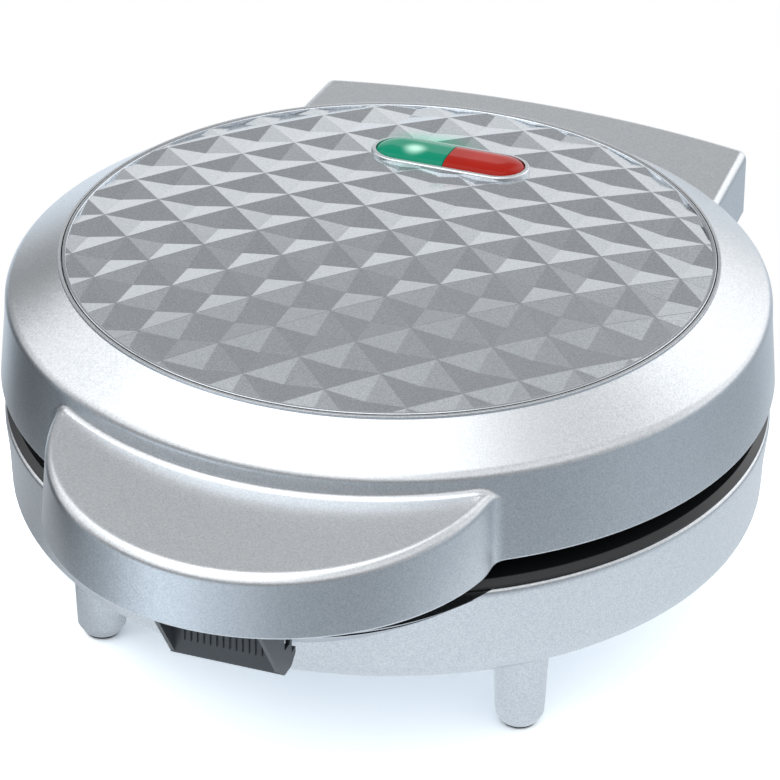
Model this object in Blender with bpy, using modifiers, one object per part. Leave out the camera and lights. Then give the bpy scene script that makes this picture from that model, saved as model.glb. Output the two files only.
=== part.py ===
"""Bubble waffle maker for the countertop, with a hinged lid and a front latch.

Lengths are in metres, +Z is up and the front with the latch faces -Y. Heights count from the table
top. The round body stands on an axis that lies BODY_BACK behind the origin, which is the centre of
the whole appliance's footprint.
"""

import math

import bmesh
import bpy
from mathutils import Matrix, Vector

MM = 0.001
HALF = 0.5
PAIR = 2
QUARTER_TURN = math.pi / 2
HALF_TURN = math.pi
FULL_TURN = math.tau
HEX_TURN = math.radians(60.0)

# Clearances and overruns
FIT = 0.3 * MM
RUNNING_FIT = 0.4 * MM
OVERRUN = 6.0 * MM
ROOT = 0.6 * MM
WELD = 0.002 * MM

# Curve steps
BODY_STEPS = 60
INNER_STEPS = 32
PLATE_STEPS = 40
DRIP_STEPS = 48
SHIELD_STEPS = 24
HANDLE_STEPS = 40
ROUND_STEPS = 16
POST_STEPS = 16
PAD_STEPS = 12
SMALL_STEPS = 8
CORNER_TURN = math.radians(23.0)
COARSE_TURN = math.radians(46.0)
EDGE_STEPS = 3
SMOOTH_ANGLE = math.radians(32.0)
FACET_ANGLE = math.radians(1.5)
FLAT_ANGLE = math.radians(0.4)
UPWARD_SHARE = 0.5
CHAMFER_STEPS = 1

# Housing walls and heights
WALL = 2.4 * MM
FOOT_HEIGHT = 27.0 * MM
BOWL_DEPTH = 29.3 * MM
PARTING_GAP = 8.9 * MM
LID_WALL_HEIGHT = 25.9 * MM
SHOULDER_RISE = 9.9 * MM
BASE_RIM = FOOT_HEIGHT + BOWL_DEPTH
LID_EDGE = BASE_RIM + PARTING_GAP
SHOULDER_LOW = LID_EDGE + LID_WALL_HEIGHT
PANEL_EDGE = SHOULDER_LOW + SHOULDER_RISE

# Housing radii
BODY_RADIUS = 105.0 * MM
SHOULDER_WIDTH = 15.65 * MM
LID_FLARE = 1.9 * MM
RIM_FLARE = 1.0 * MM
BOWL_TAPER = 0.8 * MM
LID_EDGE_RADIUS = BODY_RADIUS + LID_FLARE
RIM_RADIUS = BODY_RADIUS + RIM_FLARE
BOWL_RADIUS = BODY_RADIUS - BOWL_TAPER
BOWL_FILLET = 8.0 * MM
BOWL_BELLY = 17.0 * MM
RIM_EDGE = 0.7 * MM
SHOULDER_FILLET = 4.0 * MM
LIP_WIDTH = 0.9 * MM

# Faceted top panel
PANEL_RADIUS = BODY_RADIUS - SHOULDER_WIDTH
SHOULDER_SLOPE = SHOULDER_RISE / SHOULDER_WIDTH
PANEL_DOME = 6.2 * MM
PANEL_THICKNESS = 2.2 * MM
DIAMOND_SIDE = 16.08 * MM
DIAMOND_DEPTH = 1.0 * MM
PANEL_LEDGE = 5.0 * MM

# Reach of the latch, which the handles stand round
LATCH_STANDOFF = 16.0 * MM
LATCH_FRONT = BODY_RADIUS + LATCH_STANDOFF
LATCH_CHEEK_REACH = 13.2 * MM

# Upper handle, a half moon on the lid
HANDLE_RADIUS = 62.5 * MM
HANDLE_NOSE = 10.3 * MM
FRONT_REACH = LATCH_FRONT + LATCH_CHEEK_REACH + HANDLE_NOSE
HANDLE_SETBACK = BODY_RADIUS + HANDLE_RADIUS - FRONT_REACH
HANDLE_CENTRE = BODY_RADIUS - HANDLE_SETBACK
HANDLE_DRAFT = 1.6 * MM
HANDLE_SKIRT_LOW = 1.2 * MM
HANDLE_BACK_HEIGHT = 21.8 * MM
HANDLE_SLOPE = 0.085
HANDLE_FILLET = 3.0 * MM
HANDLE_WALL = 2.2 * MM

# Lower handle, moulded on the bowl
CATCH_OVERHANG = 2.4 * MM
CATCH_NOSE = 7.6 * MM
CATCH_RADIUS = HANDLE_RADIUS + CATCH_OVERHANG
CATCH_SETBACK = BODY_RADIUS + CATCH_RADIUS - LATCH_FRONT - CATCH_NOSE
CATCH_CENTRE = BODY_RADIUS - CATCH_SETBACK
CATCH_SLANT = 18.9 * MM
CATCH_ROOT_COVER = 0.7 * MM
CATCH_ROOT_RADIUS = CATCH_RADIUS - CATCH_SLANT
CATCH_ROOT_SETBACK = CATCH_CENTRE + CATCH_ROOT_RADIUS + CATCH_ROOT_COVER - BOWL_RADIUS
CATCH_ROOT_CENTRE = CATCH_CENTRE - CATCH_ROOT_SETBACK
CATCH_DROP = 18.5 * MM

# Latch
LATCH_WIDTH = 30.4 * MM
LATCH_PLATE = 3.6 * MM
LATCH_CHEEK_WALL = 1.7 * MM
LATCH_CHEEK_DROP = 2.0 * MM
LATCH_CHEEK_TOP = LID_EDGE - LATCH_CHEEK_DROP
LATCH_CHEEK_NOSE = 3.4 * MM
LATCH_DROP = 18.6 * MM
LATCH_BOTTOM = BASE_RIM - LATCH_DROP
LATCH_LEDGE = 2.6 * MM
LATCH_LEDGE_HEIGHT = LATCH_BOTTOM + LATCH_LEDGE
LATCH_LEDGE_RADIUS = 1.6 * MM
LATCH_SWING_ROOM = 2.6 * MM
LATCH_PIN_SETBACK = 1.6 * MM
LATCH_PIN_BACK = LATCH_FRONT - LATCH_PIN_SETBACK
LATCH_PIN_RISE = 7.2 * MM
LATCH_PIN_HEIGHT = LID_EDGE + LATCH_PIN_RISE
LATCH_PIN_RADIUS = 1.5 * MM
LATCH_BARREL_WALL = 1.9 * MM
LATCH_BARREL = LATCH_PIN_RADIUS + FIT + LATCH_BARREL_WALL
LATCH_RIB_PITCH = 1.85 * MM
LATCH_RIB_WIDTH = 0.9 * MM
LATCH_RIB_DEPTH = 0.7 * MM
LATCH_RIB_RISE = 5.7 * MM
LATCH_RIB_FOOT = LATCH_LEDGE_HEIGHT + LATCH_RIB_RISE
LATCH_RIB_MARGIN = 3.6 * MM
BRACKET_THICKNESS = 2.6 * MM
BRACKET_HALF_DEPTH = 4.2 * MM
BRACKET_DROP = 4.0 * MM

# Notch, catch rib and hook
NOTCH_CLEARANCE = 0.6 * MM
NOTCH_SETBACK = 8.4 * MM
NOTCH_DEPTH_LINE = LATCH_FRONT - NOTCH_SETBACK
CATCH_RIB_DEPTH = 2.6 * MM
CATCH_RIB_HEIGHT = 2.8 * MM
CATCH_RIB_SIDE = 4.2 * MM
CATCH_RIB_WIDTH = LATCH_WIDTH - CATCH_RIB_SIDE - CATCH_RIB_SIDE
HOOK_GRIP = 3.1 * MM
HOOK_REACH = NOTCH_DEPTH_LINE - HOOK_GRIP
HOOK_THICKNESS = 4.3 * MM
HOOK_TOP = LATCH_BOTTOM + HOOK_THICKNESS
HOOK_FALL = 0.6 * MM
HOOK_ROOT_HEIGHT = HOOK_TOP - HOOK_FALL
HOOK_NOSE = 3.0 * MM

# Cover of the upper handle
COVER_THICKNESS = 2.0 * MM
COVER_RECESS = 1.4 * MM
COVER_SCREW_MARGIN = 20.8 * MM
COVER_SCREW_SPREAD = HALF * LATCH_WIDTH + COVER_SCREW_MARGIN
COVER_SCREW_LEAD = 2.0 * MM
COVER_SCREW_REACH = LATCH_FRONT + COVER_SCREW_LEAD
COVER_BOSS_RADIUS = 3.6 * MM
COVER_SCREW_LENGTH = 10.0 * MM

# Hinge
HINGE_STANDOFF = 14.0 * MM
HINGE_BACK = BODY_RADIUS + HINGE_STANDOFF
HINGE_RISE = 0.8 * MM
HINGE_HEIGHT = LID_EDGE + HINGE_RISE
HINGE_PIN_RADIUS = 3.0 * MM
HINGE_BARREL_WALL = 3.3 * MM
HINGE_BARREL = HINGE_PIN_RADIUS + FIT + HINGE_BARREL_WALL
EAR_INNER = 44.0 * MM
EAR_THICKNESS = 8.0 * MM
EAR_ROOT_LEAD = 15.0 * MM
EAR_ROOT_FRONT = HINGE_BACK - EAR_ROOT_LEAD
EAR_ROOT_TRAIL = 4.4 * MM
EAR_ROOT_BACK = HINGE_BACK - EAR_ROOT_TRAIL
EAR_NECK_TURN = math.radians(-115.0)
EAR_NECK = 8.0 * MM
LUG_THICKNESS = 5.0 * MM
LUG_WALL = 2.7 * MM
LUG_HALF_DEPTH = HINGE_PIN_RADIUS + FIT + LUG_WALL
PIN_HEAD_RADIUS = 4.6 * MM
PIN_HEAD = 1.6 * MM
PIN_TAIL = 1.0 * MM

# Hinge block on the lid
BLOCK_RISE = 18.5 * MM
BLOCK_TOP = HINGE_HEIGHT + BLOCK_RISE
BLOCK_SIDE = 9.9 * MM
BLOCK_FRONT_HALF = EAR_INNER + EAR_THICKNESS + RUNNING_FIT + LUG_THICKNESS + BLOCK_SIDE
BLOCK_SIDE_DRAFT = 1.8 * MM
BLOCK_REAR_HALF = BLOCK_FRONT_HALF - BLOCK_SIDE_DRAFT
BLOCK_OVERLAP = 17.0 * MM
BLOCK_FRONT = BODY_RADIUS - BLOCK_OVERLAP
BLOCK_CORNER_STANDOFF = 6.2 * MM
BLOCK_CORNER = HINGE_BACK + BLOCK_CORNER_STANDOFF
BLOCK_BOW = 8.2 * MM
BLOCK_REAR = BLOCK_CORNER + BLOCK_BOW
BLOCK_EDGE = 2.0 * MM
BLOCK_CORNER_RADIUS = 3.0 * MM
BLOCK_REAR_STEPS = 10
BLOCK_EDGE_STEPS = 2

# Wiring box behind the bowl
BOX_SIDE = 2.0 * MM
BOX_HALF = EAR_INNER + EAR_THICKNESS + BOX_SIDE
BOX_STANDOFF = 7.0 * MM
BOX_BACK = HINGE_BACK + BOX_STANDOFF
BOX_RISE = 3.5 * MM
BOX_LOW = FOOT_HEIGHT + BOX_RISE
BOX_CLEARANCE = 15.6 * MM
BOX_TOP = HINGE_HEIGHT - BOX_CLEARANCE
BOX_OVERLAP = 25.0 * MM
BOX_FRONT = BODY_RADIUS - BOX_OVERLAP
BOX_CORNER_RADIUS = 6.0 * MM
BOX_EDGE = 1.5 * MM

# Feet
FOOT_INSET = 44.0 * MM
FOOT_SPREAD = BODY_RADIUS - FOOT_INSET
FOOT_TOP_RADIUS = 7.5 * MM
FOOT_TAPER = 0.8 * MM
FOOT_LOW_RADIUS = FOOT_TOP_RADIUS - FOOT_TAPER
FOOT_CHAMFER = 2.6 * MM
PAD_INSET = 2.1 * MM
PAD_RADIUS = FOOT_LOW_RADIUS - PAD_INSET
PAD_HEIGHT = 2.4 * MM
PAD_EDGE = 0.4 * MM
STEM_RADIUS = 2.0 * MM
STEM_LENGTH = 5.0 * MM

# Cooking plates
FLANGE_THICKNESS = 2.2 * MM
LOWER_FLANGE_INSET = 1.9 * MM
LOWER_FLANGE_RADIUS = RIM_RADIUS - LOWER_FLANGE_INSET
DRIP_EDGE_INSET = 0.4 * MM
DRIP_EDGE_RADIUS = RIM_RADIUS - DRIP_EDGE_INSET
DRIP_EDGE_HEIGHT = 0.5 * MM
UPPER_FLANGE_GAP = 0.8 * MM
UPPER_FLANGE_RADIUS = LID_EDGE_RADIUS - WALL - UPPER_FLANGE_GAP
FLANGE_WIDTH = 12.2 * MM
PLATE_RADIUS = UPPER_FLANGE_RADIUS - FLANGE_WIDTH
RIDGE_WIDTH = 2.6 * MM
RIDGE_GAP = 0.4 * MM
WEB_GAP = 5.6 * MM
CAVITY_RADIUS = 13.0 * MM
CAVITY_DEPTH = 9.6 * MM
CAVITY_PITCH = 28.2 * MM
CAVITY_FLOOR = 2.4 * MM
CAVITY_RINGS = 4
CAVITY_SPOKES = 8
FIELD_SHARE = 0.985
LOWER_FLANGE_TOP = BASE_RIM + FIT + FLANGE_THICKNESS
MATING_PLANE = HALF * (LOWER_FLANGE_TOP + LID_EDGE)
PLATE_THICKNESS = CAVITY_DEPTH + CAVITY_FLOOR

# Heat shields, heating elements and plate screws
SHIELD_THICKNESS = 0.8 * MM
SHIELD_FIT = 1.1 * MM
SHIELD_RADIUS = PLATE_RADIUS + SHIELD_FIT + SHIELD_THICKNESS
SHIELD_FLANGE_INSET = 2.3 * MM
SHIELD_FLANGE_RADIUS = UPPER_FLANGE_RADIUS - SHIELD_FLANGE_INSET
SHIELD_CORNER = 3.0 * MM
ELEMENT_INSET = 29.5 * MM
ELEMENT_RADIUS = PLATE_RADIUS - ELEMENT_INSET
ELEMENT_TUBE = 3.2 * MM
ELEMENT_LEAD_SPREAD = 9.0 * MM
ELEMENT_TAIL = 5.6 * MM
ELEMENT_LEAD_END = SHIELD_RADIUS + ELEMENT_TAIL
ELEMENT_BEND = 9.0 * MM
ELEMENT_STEPS = 18
BEND_STEPS = 2
ELEMENT_SHIELD_GAP = 0.8 * MM
LEAD_HOLE_FIT = 0.7 * MM
LEAD_HOLE_RADIUS = ELEMENT_TUBE + LEAD_HOLE_FIT
PLATE_SCREW_INSET = 3.4 * MM
PLATE_SCREW_CIRCLE = SHIELD_FLANGE_RADIUS - PLATE_SCREW_INSET
PLATE_SCREW_COUNT = 3
SCREW_RADIUS = 1.5 * MM
SCREW_HOLE_RADIUS = SCREW_RADIUS + FIT
SCREW_HEAD_RADIUS = 3.1 * MM
SCREW_HEAD = 1.6 * MM
SCREW_HEAD_EDGE = 0.5 * MM
PLATE_SCREW_LENGTH = 13.0 * MM
BOSS_WALL = 2.2 * MM
BOSS_RADIUS = SCREW_HOLE_RADIUS + BOSS_WALL

# Electrical parts in the base
THERMOSTAT_RADIUS = 8.2 * MM
THERMOSTAT_CAP = 5.6 * MM
THERMOSTAT_CAP_HEIGHT = 1.6 * MM
FUSE_RADIUS = 2.4 * MM
FUSE_LENGTH = 18.0 * MM
FUSE_STANDOFF = 19.4 * MM
FUSE_CENTRE = THERMOSTAT_RADIUS + FUSE_STANDOFF + FUSE_RADIUS
TERMINAL_LENGTH = 27.0 * MM
TERMINAL_DEPTH = 9.0 * MM
TERMINAL_HEIGHT = 8.0 * MM
TERMINAL_SETBACK = 18.0 * MM
TERMINAL_BACK = BOX_BACK - TERMINAL_SETBACK
TERMINAL_GROOVE = 1.2 * MM
TERMINAL_EDGE = 0.4 * MM
TERMINAL_POLES = 3
GLAND_RISE = 9.0 * MM
GLAND_HEIGHT = BOX_LOW + GLAND_RISE
GLAND_BORE = 3.7 * MM
GLAND_WALL = 2.7 * MM
GLAND_RADIUS = GLAND_BORE + GLAND_WALL
GLAND_FLANGE_WIDTH = 2.2 * MM
GLAND_FLANGE_RADIUS = GLAND_RADIUS + GLAND_FLANGE_WIDTH
GLAND_FLANGE = 1.8 * MM
GLAND_TAIL = 5.0 * MM

# Indicator in the top panel
PILL_EDGE_DISTANCE = 39.35 * MM
PILL_BACK = PANEL_RADIUS - PILL_EDGE_DISTANCE
PILL_HALF_SPAN = 14.8 * MM
LENS_RADIUS = 6.8 * MM
BEZEL_WIDTH = 1.6 * MM
BEZEL_RADIUS = LENS_RADIUS + BEZEL_WIDTH
BEZEL_PROUD = 0.9 * MM
BEZEL_FLANGE_WIDTH = 2.2 * MM
BEZEL_FLANGE_RADIUS = BEZEL_RADIUS + BEZEL_FLANGE_WIDTH
BEZEL_FLANGE = 1.4 * MM
BEZEL_EDGE = 0.45 * MM
LENS_PROUD = 2.3 * MM
LENS_EDGE = 2.0 * MM
PILL_ARC_STEPS = 6
LAMP_RADIUS = 2.4 * MM
LAMP_LENGTH = 13.0 * MM
LAMP_GAP = 6.0 * MM
LAMP_OFFSET = HALF * (LAMP_GAP + LAMP_LENGTH)
HOLDER_THICKNESS = 1.6 * MM
HOLDER_MARGIN = 1.2 * MM

BODY_BACK = HALF * (FRONT_REACH - BLOCK_REAR)


class Finish:
    """Colour and surface values of one material."""

    def __init__(self, name, colour, roughness, metallic):
        self.material = bpy.data.materials.new(name)
        self.material.use_nodes = True
        shader = self.material.node_tree.nodes["Principled BSDF"]
        shader.inputs["Base Color"].default_value = (*colour, 1.0)
        shader.inputs["Roughness"].default_value = roughness
        shader.inputs["Metallic"].default_value = metallic
        self.material.diffuse_color = (*colour, 1.0)


def clear_scene():
    """Remove every object of the open scene."""
    for leftover in list(bpy.data.objects):
        bpy.data.objects.remove(leftover, do_unlink=True)


def linked(name, data):
    """Return a new object with the given data, linked to the scene."""
    obj = bpy.data.objects.new(name, data)
    bpy.context.scene.collection.objects.link(obj)
    return obj


def tidy(mesh):
    """Merge stray points of a mesh and turn its faces outward."""
    bm = bmesh.new()
    bm.from_mesh(mesh)
    bmesh.ops.remove_doubles(bm, verts=bm.verts, dist=WELD)
    bmesh.ops.dissolve_degenerate(bm, edges=bm.edges, dist=WELD)
    bmesh.ops.recalc_face_normals(bm, faces=bm.faces)
    bm.to_mesh(mesh)
    bm.free()


def merge_flat_faces(mesh):
    """Merge faces that lie in one plane, and drop points along straight edges."""
    bm = bmesh.new()
    bm.from_mesh(mesh)
    bmesh.ops.dissolve_limit(bm, angle_limit=FLAT_ANGLE, verts=bm.verts, edges=bm.edges)
    bm.to_mesh(mesh)
    bm.free()


def bake(obj):
    """Replace a mesh object's mesh by its evaluated one."""
    bpy.context.view_layer.update()
    graph = bpy.context.evaluated_depsgraph_get()
    mesh = bpy.data.meshes.new_from_object(obj.evaluated_get(graph))
    obj.modifiers.clear()
    obj.data = mesh
    tidy(mesh)
    return obj


def combined(target, tool, operation):
    """Apply one Boolean operation to the target and remove the tool."""
    modifier = target.modifiers.new("combine", "BOOLEAN")
    modifier.operation = operation
    modifier.solver = "EXACT"
    modifier.object = tool
    bake(target)
    bpy.data.objects.remove(tool, do_unlink=True)
    return target


def joined(target, *tools):
    """Fuse the tools with the target."""
    for tool in tools:
        combined(target, tool, "UNION")
    return target


def cut(target, *tools):
    """Cut the tools out of the target."""
    for tool in tools:
        combined(target, tool, "DIFFERENCE")
    return target


def kept_inside(target, tool):
    """Keep only what of the target lies inside the tool."""
    return combined(target, tool, "INTERSECT")


def from_bmesh(name, bm):
    """Return an object made of an edited mesh."""
    mesh = bpy.data.meshes.new(name)
    bmesh.ops.recalc_face_normals(bm, faces=bm.faces)
    bm.to_mesh(mesh)
    bm.free()
    return linked(name, mesh)


def arc(centre, radius, first, last, steps):
    """Return points along a circular arc, both ends included."""
    turns = [first + (last - first) * step / steps for step in range(steps + 1)]
    return [(centre[0] + radius * math.cos(turn), centre[1] + radius * math.sin(turn)) for turn in turns]


def rounded(corners, turn=CORNER_TURN):
    """Return an outline in which an arc replaces each (u, v, radius) corner."""
    outline = []
    for index, (u, v, radius) in enumerate(corners):
        if radius == 0:
            outline.append((u, v))
            continue
        corner = Vector((u, v))
        before = (Vector(corners[index - 1][:PAIR]) - corner).normalized()
        after = (Vector(corners[(index + 1) % len(corners)][:PAIR]) - corner).normalized()
        half_angle = HALF * before.angle(after)
        centre = corner + (before + after).normalized() * radius / math.sin(half_angle)
        start = corner + before * radius / math.tan(half_angle) - centre
        finish = corner + after * radius / math.tan(half_angle) - centre
        first = math.atan2(start.y, start.x)
        sweep = math.atan2(finish.y, finish.x) - first
        sweep = (sweep + HALF_TURN) % FULL_TURN - HALF_TURN
        steps = max(1, math.ceil(abs(sweep) / turn))
        outline += arc(centre, radius, first, first + sweep, steps)
    return outline


def turned(name, profile, steps=BODY_STEPS):
    """Return a solid turned from (radius, height) points that run down its outer side."""
    mesh = bpy.data.meshes.new(name)
    last = len(profile) - 1
    edges = [(index, index + 1) for index in range(last)]
    if profile[0][0] > 0 or profile[last][0] > 0:
        edges.append((last, 0))
    mesh.from_pydata([(radius, 0.0, height) for radius, height in profile], edges, [])
    obj = linked(name, mesh)
    screw = obj.modifiers.new("turn", "SCREW")
    screw.axis = "Z"
    screw.angle = FULL_TURN
    screw.steps = steps
    screw.render_steps = steps
    screw.use_merge_vertices = True
    screw.merge_threshold = WELD
    return bake(obj)


def slab(name, outlines, low, high):
    """Return a flat outline, with any further outlines as holes, given thickness along Z."""
    curve = bpy.data.curves.new(name, "CURVE")
    curve.dimensions = "2D"
    curve.fill_mode = "BOTH"
    curve.extrude = HALF * (high - low)
    for outline in outlines:
        spline = curve.splines.new("POLY")
        spline.points.add(len(outline) - 1)
        for point, (u, v) in zip(spline.points, outline):
            point.co = (u, v, 0.0, 1.0)
        spline.use_cyclic_u = True
    source = linked(name, curve)
    source.location.z = HALF * (high + low)
    return meshed(source)


def meshed(source):
    """Return a mesh object in place of a curve object, its caps welded."""
    bpy.context.view_layer.update()
    graph = bpy.context.evaluated_depsgraph_get()
    mesh = bpy.data.meshes.new_from_object(source.evaluated_get(graph))
    mesh.transform(source.matrix_world)
    name = source.name
    bpy.data.objects.remove(source, do_unlink=True)
    bm = bmesh.new()
    bm.from_mesh(mesh)
    bmesh.ops.remove_doubles(bm, verts=bm.verts, dist=WELD)
    bmesh.ops.dissolve_limit(bm, angle_limit=FLAT_ANGLE, verts=bm.verts, edges=bm.edges)
    bmesh.ops.recalc_face_normals(bm, faces=bm.faces)
    bm.to_mesh(mesh)
    bm.free()
    return linked(name, mesh)


def box(name, low, high):
    """Return a box between two opposite corners."""
    bm = bmesh.new()
    size = Vector(high) - Vector(low)
    middle = HALF * (Vector(high) + Vector(low))
    bmesh.ops.create_cube(bm, size=1.0, matrix=Matrix.Translation(middle) @ Matrix.Diagonal((*size, 1.0)))
    return from_bmesh(name, bm)


def rod(name, radius, start, finish, steps=ROUND_STEPS, end_radius=None):
    """Return a cylinder, or a cone if an end radius is given, between two points."""
    start, finish = Vector(start), Vector(finish)
    along = finish - start
    turn = Vector((0.0, 0.0, 1.0)).rotation_difference(along).to_matrix().to_4x4()
    place = Matrix.Translation(HALF * (start + finish)) @ turn
    bm = bmesh.new()
    bmesh.ops.create_cone(
        bm, cap_ends=True, segments=steps, radius1=radius, matrix=place,
        radius2=radius if end_radius is None else end_radius, depth=along.length,
    )
    return from_bmesh(name, bm)


def bevelled(obj, chosen, width, steps=EDGE_STEPS):
    """Round the edges of a mesh object that the test function chooses."""
    bm = bmesh.new()
    bm.from_mesh(obj.data)
    edges = [edge for edge in bm.edges if chosen(edge)]
    bmesh.ops.bevel(
        bm, geom=edges, offset=width, offset_type="OFFSET", segments=steps,
        profile=HALF, affect="EDGES", clamp_overlap=True,
    )
    bm.to_mesh(obj.data)
    bm.free()
    return obj


def rim_of(height):
    """Return a test for edges at a height that border a level face and a steep one."""
    def test(edge):
        if len(edge.link_faces) != PAIR:
            return False
        level = max(abs(vert.co.z - height) for vert in edge.verts) < WELD
        return level and edge.calc_face_angle() > SMOOTH_ANGLE
    return test


def creases(edge):
    """Tell whether two faces meet at an edge at a clear angle."""
    return len(edge.link_faces) == PAIR and edge.calc_face_angle() > SMOOTH_ANGLE


def turned_over(obj, height):
    """Turn an object upside down about a level line at a height, front kept in front."""
    flip = Matrix.Translation((0.0, 0.0, height)) @ Matrix.Rotation(HALF_TURN, 4, "Y")
    obj.data.transform(flip @ Matrix.Translation((0.0, 0.0, -height)))
    return obj


def moved(obj, offset):
    """Shift an object's mesh."""
    obj.data.transform(Matrix.Translation(offset))
    return obj


def bowl_profile(inset, top, turn):
    """Return the bowl's turned outline, drawn in by a wall thickness, closed at a height."""
    return [
        (0.0, top),
        (RIM_RADIUS - inset, top),
        (RIM_RADIUS - inset, BASE_RIM - RIM_EDGE),
        (BODY_RADIUS - inset, FOOT_HEIGHT + BOWL_BELLY),
        *reversed(rounded([
            (0.0, FOOT_HEIGHT + inset, 0.0),
            (BOWL_RADIUS - inset, FOOT_HEIGHT + inset, BOWL_FILLET - HALF * inset),
            (BODY_RADIUS - inset, FOOT_HEIGHT + BOWL_BELLY, 0.0),
        ], turn)[1:-1]),
        (0.0, FOOT_HEIGHT + inset),
    ]


def lower_handle(inset):
    """Return the lower handle's oblique cone, drawn in by a wall thickness."""
    top = BASE_RIM - inset
    handle = rod(
        "lower_handle", CATCH_ROOT_RADIUS - inset,
        (0.0, 0.0, BASE_RIM - CATCH_DROP), (0.0, 0.0, top),
        HANDLE_STEPS, CATCH_RADIUS - inset,
    )
    for vert in handle.data.vertices:
        is_top = vert.co.z > top - WELD
        vert.co.y -= CATCH_CENTRE if is_top else CATCH_ROOT_CENTRE
    return handle


def wiring_box(inset):
    """Return the wiring box's block behind the bowl, drawn in by a wall thickness."""
    half = BOX_HALF - inset
    back = BOX_BACK - inset
    radius = BOX_CORNER_RADIUS - HALF * inset
    outline = rounded([
        (-half, BOX_FRONT, 0.0), (half, BOX_FRONT, 0.0), (half, back, radius), (-half, back, radius),
    ])
    return slab("wiring_box", [outline], BOX_LOW + inset, BOX_TOP - inset)


def hinge_ear(side):
    """Return one ear that carries the hinge pin, rising from the wiring box."""
    barrel = arc((HINGE_BACK, HINGE_HEIGHT), HINGE_BARREL, EAR_NECK_TURN, HALF_TURN, SMALL_STEPS)
    neck = HINGE_HEIGHT - HINGE_BARREL - EAR_NECK
    outline = [
        (EAR_ROOT_FRONT, BOX_TOP - WALL + ROOT), (EAR_ROOT_BACK, BOX_TOP - WALL + ROOT),
        (EAR_ROOT_BACK, neck), *barrel,
        (EAR_ROOT_FRONT, neck),
    ]
    return sideways("ear", outline, side * EAR_INNER, side * (EAR_INNER + EAR_THICKNESS))


def sideways(name, outline, first, last):
    """Return a slab whose (y, z) outline is given thickness along X."""
    low, high = sorted((first, last))
    piece = slab(name, [outline], low, high)
    piece.data.transform(Matrix(((0, 0, 1, 0), (1, 0, 0, 0), (0, 1, 0, 0), (0, 0, 0, 1))))
    return piece


def circle_places(circle, count, first):
    """Return points spread evenly on a circle about the body's axis."""
    turns = [first + FULL_TURN * index / count for index in range(count)]
    return [(circle * math.cos(turn), circle * math.sin(turn)) for turn in turns]


def screw_places():
    """Return where the plate screws sit, clear of the latch and the leads."""
    return circle_places(PLATE_SCREW_CIRCLE, PLATE_SCREW_COUNT, QUARTER_TURN + HALF_TURN / PLATE_SCREW_COUNT)


def base_shell():
    """Return the bowl with its handle, feet posts, wiring box, ears and screw bosses."""
    shell = turned("base_shell", bowl_profile(0.0, BASE_RIM, CORNER_TURN))
    joined(shell, lower_handle(0.0), bevelled(wiring_box(0.0), creases, BOX_EDGE, CHAMFER_STEPS))
    hollow = turned("hollow", bowl_profile(WALL, BASE_RIM + OVERRUN, COARSE_TURN), INNER_STEPS)
    notch_half = HALF * LATCH_WIDTH + NOTCH_CLEARANCE
    notch_low = BASE_RIM - CATCH_DROP - OVERRUN
    inner_handle = cut(lower_handle(WALL), box(
        "notch_wall",
        (-notch_half - WALL, -FRONT_REACH, notch_low),
        (notch_half + WALL, WALL - NOTCH_DEPTH_LINE, BASE_RIM + OVERRUN),
    ))
    joined(hollow, inner_handle, wiring_box(WALL))
    cut(shell, hollow, box(
        "notch",
        (-notch_half, -FRONT_REACH, notch_low),
        (notch_half, -NOTCH_DEPTH_LINE, BASE_RIM + OVERRUN),
    ))
    rib_half = HALF * CATCH_RIB_WIDTH
    joined(shell, box(
        "catch_rib",
        (-rib_half, -NOTCH_DEPTH_LINE, HOOK_TOP + RUNNING_FIT),
        (rib_half, CATCH_RIB_DEPTH - NOTCH_DEPTH_LINE, HOOK_TOP + RUNNING_FIT + CATCH_RIB_HEIGHT),
    ))
    for side in (-1, 1):
        joined(shell, hinge_ear(side))
        cut(shell, rod(
            "pin_hole", HINGE_PIN_RADIUS + FIT,
            (side * (EAR_INNER - OVERRUN), HINGE_BACK, HINGE_HEIGHT),
            (side * (EAR_INNER + EAR_THICKNESS + OVERRUN), HINGE_BACK, HINGE_HEIGHT),
        ))
    for x, y in foot_places():
        post = foot_post()
        stem_hole = rod(
            "stem_hole", STEM_RADIUS + FIT, (x, y, -OVERRUN), (x, y, PAD_HEIGHT + STEM_LENGTH + FIT), SMALL_STEPS,
        )
        joined(shell, moved(post, (x, y, 0.0)))
        cut(shell, stem_hole)
    boss_top = BASE_RIM - SHIELD_THICKNESS - FIT
    for x, y in screw_places():
        joined(shell, rod("boss", BOSS_RADIUS, (x, y, FOOT_HEIGHT + WALL - ROOT), (x, y, boss_top)))
        cut(shell, rod(
            "screw_hole", SCREW_HOLE_RADIUS, (x, y, LOWER_FLANGE_TOP - PLATE_SCREW_LENGTH - FIT),
            (x, y, BASE_RIM + OVERRUN), SMALL_STEPS,
        ))
    cut(shell, rod(
        "gland_hole", GLAND_RADIUS + FIT, (0.0, BOX_BACK - WALL - OVERRUN, GLAND_HEIGHT),
        (0.0, BOX_BACK + OVERRUN, GLAND_HEIGHT),
    ))
    return shell


def foot_places():
    """Return the centres of the four feet."""
    return [(x, y) for y in (-FOOT_SPREAD, FOOT_SPREAD) for x in (-FOOT_SPREAD, FOOT_SPREAD)]


def foot_post():
    """Return one foot's tapered post at the origin."""
    low = PAD_HEIGHT + FIT
    return turned("post", [
        (0.0, FOOT_HEIGHT + ROOT),
        (FOOT_TOP_RADIUS, FOOT_HEIGHT + ROOT),
        (FOOT_LOW_RADIUS, low + FOOT_CHAMFER),
        (PAD_RADIUS, low),
        (0.0, low),
    ], POST_STEPS)


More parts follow.
